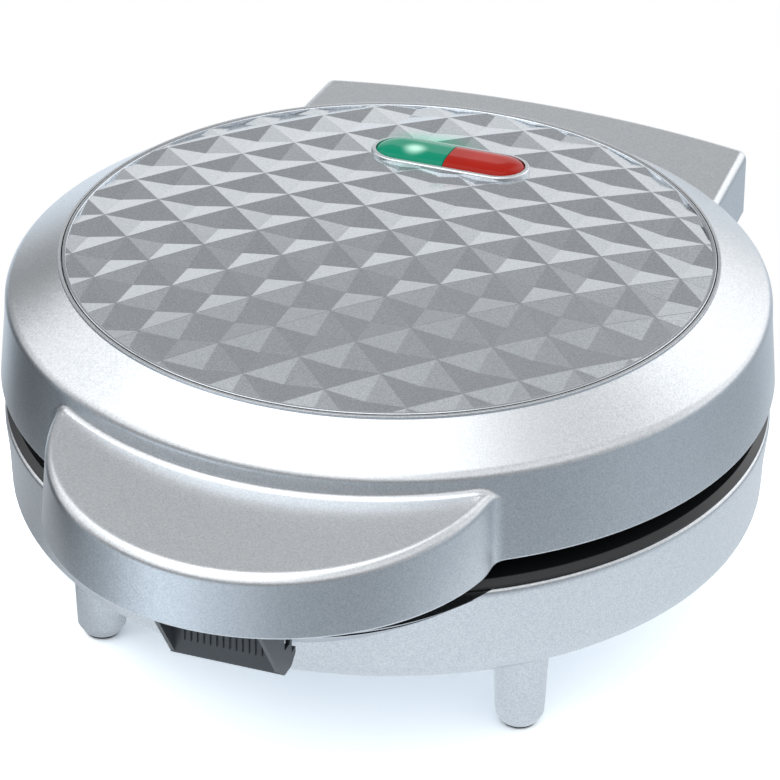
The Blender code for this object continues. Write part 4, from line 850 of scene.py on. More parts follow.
@dataclass
class Lid(Piece):
    """The lid's housing: round wall, sloping shoulder, half-moon handle and hinge block."""

    wall_radius: float = 105.0
    edge_radius: float = 106.9
    panel_radius: float = 89.35
    edge_height: float = 65.2
    shoulder_low: float = 91.1
    panel_height: float = 101.0
    wall: float = 2.4
    shoulder_fillet: float = 4.0
    lip: float = 0.9
    lip_edge: float = 0.25
    edge: float = 0.7
    seat_drop: float = 3.5
    ledge: float = 5.0
    handle_radius: float = 62.5
    handle_centre: float = 82.0
    handle_draft: float = 0.054
    handle_low: float = 64.0
    handle_back: float = 85.8
    handle_slope: float = 0.085
    handle_fillet: float = 3.4
    handle_wall: float = 2.2
    root_fillet: float = 2.0
    corner_fillet: float = 6.0
    seam: float = 0.5
    plain_turn: float = math.radians(42.0)
    root_steps: int = 8
    fillet_steps: int = 9
    edge_steps: int = 4
    plain_rings: int = 5
    steps: int = 288
    column_stops: tuple[Point, ...] = (
        (0.0, 0.0), (math.radians(35.0), math.radians(29.0)),
        (math.radians(60.0), math.radians(42.0)), (HALF_TURN, HALF_TURN),
    )
    block_front: float = 88.0
    block_corner: float = 125.2
    block_bow: float = 8.2
    block_front_half: float = 67.3
    block_rear_half: float = 65.5
    block_top: float = 84.5
    block_edge: float = 2.6
    block_rear_corner: float = 3.0
    lug_first: float = 52.4
    lug_thickness: float = 5.0
    lug_half_depth: float = 6.0
    bracket_first: float = 15.6
    bracket_thickness: float = 2.6
    bracket_half_depth: float = 4.2
    bracket_drop: float = 4.0

    @property
    def slope(self) -> float:
        """Return how far the shoulder falls for each millimetre outward."""
        return (self.panel_height - self.shoulder_low) / (self.wall_radius - self.panel_radius)

    def shoulder(self, radius: float, inset: float) -> float:
        """Return the height of the shoulder's slope at a radius, lowered by an inset."""
        fall = self.slope * (radius - self.panel_radius)
        return self.panel_height - fall - inset * math.hypot(1.0, self.slope)

    def wall_at(self, height: float) -> float:
        """Return the wall's radius at a height."""
        lean = (self.edge_radius - self.wall_radius) / (self.shoulder_low - self.edge_height)
        return self.wall_radius + lean * (self.shoulder_low - height)

    def round_form(self) -> Solid:
        """Return the lid's round outer form as a full solid, its wall divided into rings.

        Returns:
            The form.
        """
        lip = self.panel_radius + FIT + self.lip
        rings = [self.ring_height(ring) for ring in range(self.rings)]
        return turned("lid_housing", [
            (0.0, self.panel_height),
            *rounded([
                (0.0, self.panel_height, 0.0),
                (lip, self.panel_height, self.lip_edge),
                (lip, self.shoulder(lip, 0.0), 0.0),
            ], steps=2)[1:],
            *rounded([
                (lip, self.shoulder(lip, 0.0), 0.0),
                (self.wall_radius, self.shoulder_low, self.shoulder_fillet),
                (self.edge_radius, self.edge_height, 0.0),
            ])[1:-1],
            *((self.wall_at(height), height) for height in rings),
            (self.edge_radius - self.wall - OVERRUN, self.edge_height),
            (0.0, self.edge_height),
        ], self.steps)

    @property
    def rings(self) -> int:
        """Return the number of rings in the wall."""
        return self.root_steps + self.fillet_steps + self.edge_steps + self.plain_rings

    def ring_height(self, ring: int) -> float:
        """Return the height of a ring of the plain wall."""
        top = self.shoulder_low - self.shoulder_fillet
        return top + (self.edge_height - top) * ring / (self.rings - 1)

    def reach(self, turn: float, height: float) -> float:
        """Return how far the outline reaches from the axis.

        Wall and handle are two circles in plan, and a hollow corner joins them.

        Args:
            turn: Angle from the front, either way.
            height: Height above the table.

        Returns:
            The distance from the lid's axis.
        """
        wall = self.wall_at(height)
        column = self.handle_radius - self.handle_draft * (height - self.handle_low)
        corner = self.corner_fillet
        apart = (wall + corner) ** 2 - (column + corner) ** 2
        front = (apart + self.handle_centre ** 2) / (2 * self.handle_centre)
        middle = Vector((math.sqrt((wall + corner) ** 2 - front ** 2), front))
        if turn >= math.atan2(middle.x, middle.y):
            return wall
        meeting = Vector((0.0, self.handle_centre))
        meeting += (middle - meeting).normalized() * column
        if turn <= math.atan2(meeting.x, meeting.y):
            offset = self.handle_centre * math.sin(turn)
            return self.handle_centre * math.cos(turn) + math.sqrt(column ** 2 - offset ** 2)
        along = middle.x * math.sin(turn) + middle.y * math.cos(turn)
        return along - math.sqrt(max(corner ** 2 - middle.length_squared + along ** 2, 0.0))

    def section(self, turn: float) -> list[Point]:
        """Return the wall's rings at a turn from the front, with the handle's top and rim where it stands.

        The root fillet rolls down round the rim where the handle's end narrows, which rounds its tip.

        Args:
            turn: Angle from the front.

        Returns:
            The (radius, height) points, from the top down.
        """
        def level(radius: float) -> float:
            """Return the height of the handle's top at a distance from the axis."""
            return self.handle_top(-radius * math.cos(min(turn, self.plain_turn)))

        wall = self.wall_at(self.handle_back)
        shelf = self.reach(turn, self.handle_back) - wall
        both = self.root_fillet + self.handle_fillet
        rim = Vector((wall + shelf - self.handle_fillet, level(wall + shelf) - self.handle_fillet))
        short = max(both - shelf, 0.0)
        lift = math.sqrt(both ** 2 - short ** 2)
        root_height = rim.y + lift if short > 0 else level(wall) + self.root_fillet
        root = Vector((wall + self.root_fillet, root_height))
        contact = math.atan2(lift, short) if short > 0 else QUARTER_TURN
        drop = min(1.0, max(0.0, shelf / self.corner_fillet))
        low = self.edge_height + (self.handle_low - self.edge_height) * drop ** 2 * (3 - 2 * drop)
        edge = (self.reach(turn, low), low)
        inside = (self.edge_radius - self.wall - OVERRUN, low)
        hollow = arc(tuple(root), self.root_fillet, HALF_TURN, HALF_TURN + contact, self.root_steps)
        crown = arc(tuple(rim), self.handle_fillet, contact, 0.0, self.fillet_steps)
        flat = Vector(crown[0]) - Vector(hollow[-1])
        seam = flat.normalized() * min(self.seam, flat.length / 3)
        return [
            *hollow, tuple(Vector(hollow[-1]) + seam), tuple(Vector(crown[0]) - seam), *crown,
            *rounded([(*crown[-1], 0.0), (*edge, self.edge), (*inside, 0.0)], self.edge_steps)[1:],
        ]

    def gathered(self, turn: float) -> float:
        """Return a turn from the front with the columns gathered towards the handle's two ends.

        Args:
            turn: Angle from the front, positive to the right.

        Returns:
            The new turn.
        """
        stops = self.column_stops
        for (share, place), (next_share, next_place) in zip(stops, stops[1:]):
            if abs(turn) <= next_share:
                part = (abs(turn) - share) / (next_share - share)
                return math.copysign(place + part * (next_place - place), turn)
        return turn

    def draw_handle(self, shell: Solid) -> None:
        """Draw the half-moon handle out of the wall of the turned form.

        Args:
            shell: The lid's turned form.
        """
        rings = {round(self.ring_height(ring), 2): ring for ring in range(self.rings)}
        sections: dict[float, list[Point]] = {}
        for vert in shell.data.vertices:
            radius, height = math.hypot(vert.co.x, vert.co.y), vert.co.z
            if radius < WELD:
                continue
            turn = self.gathered(math.atan2(vert.co.x, -vert.co.y))
            ring = rings.get(round(height, 2))
            if ring is not None:
                section = sections.setdefault(round(abs(turn), 5), self.section(abs(turn)))
                radius, height = section[-1] if radius < self.edge_radius - self.wall else section[ring]
            vert.co = (radius * math.sin(turn), -radius * math.cos(turn), height)
        tidied(shell)

    def hollow(self) -> Solid:
        """Return the space inside the lid, open at the bottom and through the panel's seat.

        Returns:
            The space as a solid.
        """
        throat = self.panel_radius - self.ledge
        seat = self.panel_height - self.seat_drop
        inner = self.wall_radius - self.wall
        rise = self.shoulder(self.panel_radius, self.wall) - seat + self.wall
        ledge_root = self.panel_radius + rise / self.slope
        return turned("hollow", [
            (0.0, seat + OVERRUN),
            (throat, seat + OVERRUN),
            (throat, seat - self.wall),
            (ledge_root, seat - self.wall),
            *rounded([
                (ledge_root, seat - self.wall, 0.0),
                (inner, self.shoulder(inner, self.wall), self.shoulder_fillet - self.wall / 2),
                (self.edge_radius - self.wall, self.edge_height, 0.0),
            ], steps=4)[1:-1],
            (self.edge_radius - self.wall, self.edge_height),
            (self.edge_radius - self.wall, self.edge_height - OVERRUN),
            (0.0, self.edge_height - OVERRUN),
        ])

    def handle_top(self, y: float) -> float:
        """Return the height of the handle's sloping top at a depth."""
        return self.handle_back + self.handle_slope * (y + (self.wall_radius + self.handle_centre) / 2)

    def handle(self, inset: float, low: float) -> Solid:
        """Return the half-moon handle's full round form, drawn in by a wall thickness.

        Args:
            inset: How far it is drawn in.
            low: Height of its lower end.

        Returns:
            The form.
        """
        high = self.handle_top(0.0) + OVERRUN
        form = rod(
            "handle", self.handle_radius - inset, (0.0, -self.handle_centre, low),
            (0.0, -self.handle_centre, high), ROUND_STEPS,
            self.handle_radius - inset - self.handle_draft * (high - low),
        )
        open_mesh(form)
        bpy.ops.mesh.bisect(
            plane_co=(0.0, 0.0, self.handle_top(0.0) - inset), plane_no=(0.0, -self.handle_slope, 1.0),
            use_fill=True, clear_outer=True,
        )
        close_mesh()
        return tidied(form)

    def block_outline(self, inset: float) -> list[Point]:
        """Return the hinge block's plan outline, with its rear edge a shallow arc.

        Args:
            inset: How far it is drawn in.

        Returns:
            The outline's points.
        """
        half = self.block_rear_half
        rear = self.block_corner + self.block_bow
        radius = (half ** 2 + self.block_bow ** 2) / (2 * self.block_bow)
        spread = math.asin((half - inset) / radius)
        middle = (0.0, rear - radius - inset)
        bow = arc(middle, radius, QUARTER_TURN - spread, QUARTER_TURN + spread, ARC_STEPS)
        front = self.block_front_half - inset
        corner = self.block_rear_corner - inset / 2
        return rounded([
            (-front, self.block_front, 0.0), (front, self.block_front, 0.0), (*bow[0], corner),
            *((x, y, 0.0) for x, y in bow[1:-1]), (*bow[-1], corner),
        ])

    def lug(self, side: int) -> Solid:
        """Return one lug inside the hinge block.

        Args:
            side: -1 for the left, 1 for the right.

        Returns:
            The lug.
        """
        barrel = arc((HINGE_PIN.y, HINGE_PIN.z), self.lug_half_depth, -HALF_TURN, 0.0, ARC_STEPS)
        top = self.block_top - self.wall + ROOT
        outline = [(HINGE_PIN.y + self.lug_half_depth, top), (HINGE_PIN.y - self.lug_half_depth, top)]
        ends = side_ends(side, self.lug_first, self.lug_first + self.lug_thickness)
        return HINGE_PIN.bored(sideways("lug", outline + barrel, *ends), *ends)

    def bracket(self, side: int) -> Solid:
        """Return one bracket inside the handle that carries the latch pin.

        Args:
            side: -1 for the left, 1 for the right.

        Returns:
            The bracket.
        """
        left, right = side_ends(side, self.bracket_first, self.bracket_first + self.bracket_thickness)
        top = self.handle_top(LATCH_PIN.y) - self.handle_wall + ROOT
        form = block(
            "bracket", (left, LATCH_PIN.y - self.bracket_half_depth, LATCH_PIN.z - self.bracket_drop),
            (right, LATCH_PIN.y + self.bracket_half_depth, top),
        )
        return LATCH_PIN.bored(form, left, right)

    def build(self) -> None:
        """Model the lid's housing and dress it."""
        shell = self.round_form()
        self.draw_handle(shell)
        hinge_block = slab("hinge_block", self.block_outline(0.0), self.edge_height, self.block_top)
        joined(shell, eased(hinge_block, self.block_edge, rim_at(self.block_top), segments=5))
        inner_handle = cut(self.handle(self.handle_wall, self.handle_low - OVERRUN), self.round_form())
        low, high = self.edge_height - OVERRUN, self.block_top - self.wall
        inner_block = cut(slab("inner_block", self.block_outline(self.wall), low, high), self.round_form())
        recess = rod(
            "recess", self.panel_radius + FIT, (0.0, 0.0, self.panel_height - self.seat_drop),
            (0.0, 0.0, self.panel_height + OVERRUN), ROUND_STEPS,
        )
        cut(shell, self.hollow(), recess, inner_handle, inner_block)
        for side in (-1, 1):
            joined(shell, self.lug(side), self.bracket(side))
        self.placed(shell, HOUSING_PAINT, "lid", "silver_housing", ["lid_shell"])


@dataclass
class Panel(Piece):
    """The domed panel whose diamonds are sunken four-sided facets."""

    radius: float = 89.35
    height: float = 101.0
    dome: float = 6.2
    thickness: float = 3.2
    diamond: float = 16.08
    depth: float = 1.0
    ridge: float = 0.12
    rim_width: float = 1.1
    rim_proud: float = 0.25
    rim_edge: float = 0.3
    smooth_turn: float = math.radians(4)

    def surface(self, x: float, y: float) -> float:
        """Return the dome's height at a place."""
        return self.height + self.dome * (1.0 - (x ** 2 + y ** 2) / self.radius ** 2)

    def rim(self) -> Solid:
        """Return the smooth rim that runs round the facets.

        Returns:
            The rim.
        """
        inner = self.radius - self.rim_width
        return turned("panel_rim", rounded([
            (inner, self.height - self.thickness, 0.0),
            (inner, self.height + self.rim_proud, self.rim_edge),
            (self.radius, self.height + self.rim_proud, self.rim_edge),
            (self.radius, self.height - self.thickness, 0.0),
        ], steps=4))

    def build(self) -> None:
        """Model the panel and dress it."""
        cells = 2 * math.ceil(self.radius / self.diamond)
        deselect()
        bpy.ops.mesh.primitive_grid_add(
            x_subdivisions=cells, y_subdivisions=cells, size=cells * self.diamond,
            rotation=(0.0, 0.0, QUARTER_TURN / 2),
        )
        panel = settled("top_panel_facets")
        for vert in panel.data.vertices:
            vert.co.z = self.surface(vert.co.x, vert.co.y)
        open_mesh(panel)
        bpy.ops.mesh.poke(offset=-self.depth)
        close_mesh()
        eased(panel, self.ridge, lambda edge: len(edge.link_faces) == 2, segments=1)
        thickened(panel, (0.0, 0.0, -self.thickness))
        worked(panel, rod(
            "disc", self.radius, (0.0, 0.0, self.height - self.thickness),
            (0.0, 0.0, self.height + self.dome + OVERRUN), ROUND_STEPS,
        ), Cut.KEEP)
        joined(panel, self.rim())
        Indicator().cut_hole(panel)
        self.placed(panel, PANEL_PAINT, "lid", "faceted_panel", ["top_panel"], self.smooth_turn)


@dataclass
class Indicator(Piece):
    """The long indicator: a raised silver frame round a green and a red lens."""

    back: float = 49.1
    half_span: float = 14.1
    lens_radius: float = 7.6
    frame_radius: float = 9.0
    frame_proud: float = 0.9
    frame_edge: float = 0.55
    flange_radius: float = 10.6
    flange: float = 1.4
    flange_drop: float = 7.6
    lens_proud: float = 2.3
    lens_edge: float = 5.6

    def pill(self, name: str, radius: float, low: float, high: float) -> Solid:
        """Return a solid with the indicator's long round-ended outline.

        Args:
            name: Name of the new piece.
            radius: Radius of its round ends.
            low: Height of its lower end.
            high: Height of its upper end.

        Returns:
            The solid.
        """
        right = arc((self.half_span, 0.0), radius, -QUARTER_TURN, QUARTER_TURN, LONG_ARC_STEPS)
        left = arc((-self.half_span, 0.0), radius, QUARTER_TURN, QUARTER_TURN + HALF_TURN, LONG_ARC_STEPS)
        return slab(name, right + left, low, high)

    def laid(self, piece: Solid) -> Solid:
        """Lay a piece made at the origin on the dome.

        Args:
            piece: The piece.

        Returns:
            The same piece.
        """
        panel = Panel()
        tilt = -math.atan(2 * panel.dome * self.back / panel.radius ** 2)
        return moved(piece, (0.0, self.back, panel.surface(0.0, self.back)), (tilt, 0.0, 0.0))

    def cut_hole(self, panel: Solid) -> None:
        """Cut the frame's hole in the panel."""
        cut(panel, self.laid(self.pill("pill_hole", self.frame_radius - FIT, -OVERRUN, OVERRUN)))

    def lens(self, name: str, side: int) -> Solid:
        """Return one domed lens.

        Args:
            name: Name of the new piece.
            side: -1 for the left, 1 for the right.

        Returns:
            The lens.
        """
        gap = FIT / 2
        outline = arc((self.half_span, 0.0), self.lens_radius, -QUARTER_TURN, QUARTER_TURN, LONG_ARC_STEPS)
        outline += [(gap, self.lens_radius), (gap, -self.lens_radius)]
        form = slab(name, outline, -self.flange_drop, self.lens_edge)

        def outer_rim(edge: Edge) -> bool:
            """Tell whether an edge runs round the lens's face, away from the other lens."""
            return rim_at(self.lens_edge)(edge) and not all(vert.co.x < gap + WELD for vert in edge.verts)

        eased(form, self.lens_edge - WELD, outer_rim, segments=12)
        for vert in form.data.vertices:
            vert.co.z *= self.lens_proud / self.lens_edge if vert.co.z > 0 else 1.0
        if side < 0:
            moved(form, (0.0, 0.0, 0.0), (0.0, 0.0, HALF_TURN))
        return self.laid(form)

    def build(self) -> None:
        """Model frame and lenses and dress them."""
        low = -self.flange_drop - self.flange
        bezel = self.pill("indicator_frame", self.frame_radius, low, self.frame_proud)
        eased(bezel, self.frame_edge, rim_at(self.frame_proud))
        joined(bezel, self.pill("flange", self.flange_radius, low, -self.flange_drop))
        cut(bezel, self.pill("window", self.lens_radius + FIT / 2, -2 * OVERRUN, OVERRUN))
        self.placed(self.laid(bezel), FRAME_PAINT, "lid", "silver_bezel", ["indicator_bezel"])
        self.placed(self.lens("green_lens_domed", -1), GREEN_LENS, "lid", "green_lens", ["green_lens"])
        self.placed(self.lens("red_lens_domed", 1), RED_LENS, "lid", "red_lens", ["red_lens"])


@dataclass
class Base(Piece):
    """The base's housing: bowl, lower handle, feet, wiring box and hinge ears."""

    body_radius: float = 105.0
    rim_radius: float = 106.0
    bowl_radius: float = 104.2
    rim_height: float = 56.3
    bottom: float = 27.0
    belly: float = 17.0
    bowl_fillet: float = 8.0
    rim_edge: float = 1.3
    wall: float = 2.4
    catch_radius: float = 64.9
    catch_centre: float = 63.7
    catch_root_radius: float = 46.0
    catch_root_centre: float = 57.5
    catch_drop: float = 18.5
    catch_fillet: float = 1.6
    catch_margin: float = 1.0
    rim_margin: float = 0.05
    notch_half: float = 15.8
    notch_back: float = 112.6
    notch_front: float = 160.0
    rib_half: float = 11.0
    rib_low: float = 42.4
    rib_high: float = 45.2
    rib_depth: float = 2.6
    box_half: float = 54.0
    box_front: float = 80.0
    box_back: float = 126.0
    box_low: float = 30.5
    box_top: float = 50.4
    box_corner: float = 6.0
    box_edge: float = 1.5
    ear_first: float = 44.0
    ear_thickness: float = 8.0
    ear_barrel: float = 6.6
    ear_front: float = 104.0
    ear_rear: float = 114.6
    ear_neck: float = 8.0
    ear_neck_turn: float = math.radians(-115)
    foot_spread: float = 61.0
    foot_radius: float = 7.5
    foot_low_radius: float = 6.7
    foot_chamfer: float = 2.6
    foot_flare: float = 1.6
    foot_cove: float = 1.4
    foot_neck: float = 2.0
    foot_edge: float = 0.3
    pad_radius: float = 4.7
    pad_height: float = 2.4
    pad_shown: float = 0.9
    gland_height: float = 39.5
    gland_radius: float = 6.4

    def bowl(self, inset: float, top: float) -> Solid:
        """Return the bowl's turned form, drawn in by a wall thickness, closed at a height.

        Args:
            inset: How far it is drawn in.
            top: Height at which it is closed.

        Returns:
            The form.
        """
        rim = [(0.0, top, 0.0), (self.rim_radius - inset, top, self.rim_edge if inset == 0 else 0.0)]
        side = [
            (self.rim_radius - inset, self.rim_height - 2 * self.rim_edge, 0.0),
            (self.body_radius - inset, self.bottom + self.belly, 0.0),
        ]
        foot = [
            (self.body_radius - inset, self.bottom + self.belly, 0.0),
            (self.bowl_radius - inset, self.bottom + inset, self.bowl_fillet - inset / 2),
            (0.0, self.bottom + inset, 0.0),
        ]
        upper = rounded(rim + side[:1], steps=4)
        return turned("base_housing", [*upper, side[1][:2], *rounded(foot, steps=12)[1:]])

    def lower_handle(self, inset: float) -> Solid:
        """Return the lower handle's oblique cone, drawn in by a wall thickness.

        Args:
            inset: How far it is drawn in.

        Returns:
            The form.
        """
        low = self.rim_height - self.catch_drop
        high = self.rim_height - inset
        form = rod(
            "lower_handle", self.catch_root_radius - inset, (0.0, -self.catch_root_centre, low),
            (0.0, -self.catch_root_centre, high), ROUND_STEPS, self.catch_radius - inset,
        )
        open_mesh(form, "DESELECT")
        mesh = bmesh.from_edit_mesh(form.data)
        for vert in mesh.verts:
            vert.select_set(vert.co.z > high - WELD)
        mesh.select_flush(True)
        bmesh.update_edit_mesh(form.data)
        bpy.ops.transform.translate(value=(0.0, self.catch_root_centre - self.catch_centre, 0.0))
        close_mesh()
        return form

    def wiring_box(self, inset: float) -> Solid:
        """Return the wiring box behind the bowl, drawn in by a wall thickness.

        Args:
            inset: How far it is drawn in.

        Returns:
            The box.
        """
        half = self.box_half - inset
        back = self.box_back - inset
        radius = self.box_corner - inset / 2
        outline = rounded([
            (-half, self.box_front, 0.0), (half, self.box_front, 0.0),
            (half, back, radius), (-half, back, radius),
        ])
        return slab("wiring_box", outline, self.box_low + inset, self.box_top - inset)

    def ear(self, side: int) -> Solid:
        """Return one ear that carries the hinge pin.

        Args:
            side: -1 for the left, 1 for the right.

        Returns:
            The ear.
        """
        middle = (HINGE_PIN.y, HINGE_PIN.z)
        barrel = arc(middle, self.ear_barrel, self.ear_neck_turn, HALF_TURN, LONG_ARC_STEPS)
        neck = HINGE_PIN.z - self.ear_barrel - self.ear_neck
        foot = self.box_top - self.wall + ROOT
        outline = [(self.ear_front, foot), (self.ear_rear, foot), (self.ear_rear, neck), *barrel]
        outline.append((self.ear_front, neck))
        ends = side_ends(side, self.ear_first, self.ear_first + self.ear_thickness)
        return HINGE_PIN.bored(sideways("ear", outline, *ends), *ends)

    def foot_post(self, x: float, y: float) -> Solid:
        """Return one foot's tapered post.

        Args:
            x: Its place across.
            y: Its place in depth.

        Returns:
            The post.
        """
        low = self.pad_shown
        flare = self.foot_radius + self.foot_flare
        cove = arc((flare, self.bottom - self.foot_cove), self.foot_cove, QUARTER_TURN, HALF_TURN, steps=5)
        post = turned("post", [
            (0.0, self.bottom + ROOT),
            (flare, self.bottom + ROOT),
            *cove[1:],
            *rounded([
                (self.foot_radius, self.bottom - self.foot_neck, 0.0),
                (self.foot_low_radius, low + self.foot_chamfer, self.foot_edge),
                (self.pad_radius + FIT, low, 0.0),
            ], steps=4)[1:],
            (self.pad_radius, low),
            (self.pad_radius, self.pad_height + FIT),
            (0.0, self.pad_height + FIT),
        ], SMALL_STEPS)
        return moved(post, (x, y, 0.0))

    def catch_root(self, edge: Edge) -> bool:
        """Tell whether an edge lies in the inner corner between lower handle and bowl.

        Args:
            edge: The edge.

        Returns:
            Whether it does.
        """
        for vert in edge.verts:
            radius = math.hypot(vert.co.x, vert.co.y)
            behind = vert.co.y > 0 or radius > self.rim_radius + self.catch_margin
            if behind or vert.co.z > self.rim_height - self.catch_margin:
                return False
        return is_crease(edge) and not edge.is_convex

    def build(self) -> None:
        """Model the base's housing and dress it."""
        shell = joined(self.bowl(0.0, self.rim_height), self.lower_handle(0.0))
        eased(shell, self.catch_fillet, self.catch_root)
        eased(shell, self.rim_edge, self.outer_handle_rim, segments=3)
        joined(shell, eased(self.wiring_box(0.0), self.box_edge, is_crease, segments=3))
        low, top = self.rim_height - self.catch_drop - OVERRUN, self.rim_height + OVERRUN
        hollow = self.bowl(self.wall, top)
        inner_handle = cut(self.lower_handle(self.wall), block(
            "notch_wall", (-self.notch_half - self.wall, -self.notch_front, low),
            (self.notch_half + self.wall, self.wall - self.notch_back, top),
        ))
        joined(hollow, inner_handle, self.wiring_box(self.wall))
        notch = block(
            "notch", (-self.notch_half, -self.notch_front, low), (self.notch_half, -self.notch_back, top),
        )
        cut(shell, hollow, notch)
        joined(shell, block(
            "catch_rib", (-self.rib_half, -self.notch_back, self.rib_low),
            (self.rib_half, self.rib_depth - self.notch_back, self.rib_high),
        ))
        for side in (-1, 1):
            joined(shell, self.ear(side))
        for x in (-self.foot_spread, self.foot_spread):
            for y in (-self.foot_spread, self.foot_spread):
                joined(shell, self.foot_post(x, y))
        cut(shell, rod(
            "gland_hole", self.gland_radius + FIT,
            (0.0, self.box_back - self.wall - OVERRUN, self.gland_height),
            (0.0, self.box_back + OVERRUN, self.gland_height),
        ))
        self.placed(shell, HOUSING_PAINT, "base", "silver_housing", ["base_shell"])

    def outer_handle_rim(self, edge: Edge) -> bool:
        """Tell whether an edge runs round the lower handle's top, in front of the bowl's rim."""
        clear = [math.hypot(vert.co.x, vert.co.y) > self.rim_radius + self.rim_margin for vert in edge.verts]
        return rim_at(self.rim_height)(edge) and all(clear)


@dataclass
class Latch(Piece):
    """The finger latch: a ribbed wall between two slanted cheeks, with hook and pin barrel."""

    half: float = 15.2
    front: float = 121.0
    plate: float = 3.6
    barrel: float = 3.7
    bottom: float = 37.7
    ledge: float = 40.3
    ledge_radius: float = 1.6
    foot_edge: float = 0.6
    hook_reach: float = 109.5
    hook_nose: float = 3.0
    hook_top: float = 42.0
    hook_root: float = 41.4
    cheek_wall: float = 1.2
    cheek_reach: float = 13.2
    cheek_top: float = 63.2
    cheek_nose: float = 3.4
    rib_pitch: float = 1.8
    rib_width: float = 1.3
    rib_depth: float = 0.55
    rib_foot: float = 44.9
    web_top: float = 48.0
    web_back: float = 112.0
    slit: float = 3.6
    slit_depth: float = 2.7
    edge: float = 0.25

    def build(self) -> None:
        """Model the latch and dress it."""
        back = self.front - self.plate
        body = sideways("latch_body", rounded([
            (-self.front, LATCH_PIN.z, 0.0),
            (-self.front, self.ledge, self.foot_edge),
            (-back, self.bottom, self.ledge_radius),
            (-self.hook_reach - self.hook_nose, self.bottom, self.ledge_radius),
            (-self.hook_reach, self.ledge, 0.0),
            (-self.hook_reach, self.hook_top, 0.0),
            (-back, self.hook_root, 0.0),
            (-back, LATCH_PIN.z, 0.0),
        ]), -self.half, self.half)
        joined(body, LATCH_PIN.bar("barrel", self.barrel, -self.half, self.half))
        for side in (-1, 1):
            joined(body, self.cheek(side), self.web(side))
        eased(body, self.edge, is_crease, segments=2)
        count = math.floor((self.half - self.cheek_wall) / self.rib_pitch)
        for index in range(-count, count):
            middle = self.rib_pitch * (index + 0.5)
            joined(body, eased(block(
                "rib", (middle - self.rib_width / 2, -self.front - self.rib_depth, self.rib_foot),
                (middle + self.rib_width / 2, -self.front + ROOT, self.cheek_top + OVERRUN),
            ), self.edge, self.rib_corner, segments=2))
        LATCH_PIN.bored(body, -self.half, self.half)
        self.placed(body, LATCH_PLASTIC, "latch", "latch_plastic", ["latch"])

    def cheek(self, side: int) -> Solid:
        """Return one slanted cheek beside the ribbed wall.

        Args:
            side: -1 for the left, 1 for the right.

        Returns:
            The cheek.
        """
        root = self.front - self.plate + ROOT
        return sideways("cheek", [
            (-self.front - self.cheek_reach, self.cheek_top),
            (-self.front - self.cheek_reach, self.cheek_top - self.cheek_nose),
            (-self.front + self.foot_edge / 4, self.ledge + self.foot_edge / 4),
            (-root, self.ledge + self.foot_edge),
            (-root, LATCH_PIN.z),
            (-self.front - ROOT, LATCH_PIN.z),
        ], *side_ends(side, self.half - self.cheek_wall, self.half))

    def web(self, side: int) -> Solid:
        """Return one web that stiffens the hook at its end, with a slit behind the wall.

        Args:
            side: -1 for the left, 1 for the right.

        Returns:
            The web.
        """
        back = self.front - self.plate
        return sideways("web", [
            (-back - ROOT, self.ledge), (-self.hook_reach - self.hook_nose, self.ledge),
            (-self.web_back, self.web_top), (-back + self.slit, self.web_top),
            (-back + self.slit, self.web_top - self.slit_depth),
            (-back - ROOT, self.web_top - self.slit_depth),
        ], *side_ends(side, self.half - self.cheek_wall, self.half))

    def rib_corner(self, edge: Edge) -> bool:
        """Tell whether an edge lies on a rib's outer face."""
        return all(vert.co.y < -self.front - self.rib_depth + WELD for vert in edge.verts)


@dataclass
class Screw:
    """A pan head screw with a cross recess, standing on its shank at the origin."""

    radius: float = 1.5
    head_radius: float = 3.1
    head: float = 1.6
    head_edge: float = 0.9
    tip_edge: float = 0.4
    recess: float = 1.1
    recess_reach: float = 1.9
    recess_half: float = 0.32

    def build(self, name: str, seat: float, length: float) -> Solid:
        """Return the screw.

        Args:
            name: Name of the new piece.
            seat: Height of the head's seat.
            length: How far the shank reaches down from there.

        Returns:
            The screw, upright on the body's axis.
        """
        top = seat + self.head
        screw = turned(name, rounded([
            (0.0, top, 0.0), (self.head_radius, top, self.head_edge), (self.head_radius, seat, 0.0),
            (self.radius, seat, 0.0), (self.radius, seat - length, self.tip_edge), (0.0, seat - length, 0.0),
        ], steps=4), SMALL_STEPS)
        for x, y in ((self.recess_reach, self.recess_half), (self.recess_half, self.recess_reach)):
            cut(screw, block("recess", (-x, -y, top - self.recess), (x, y, top + OVERRUN)))
        return screw


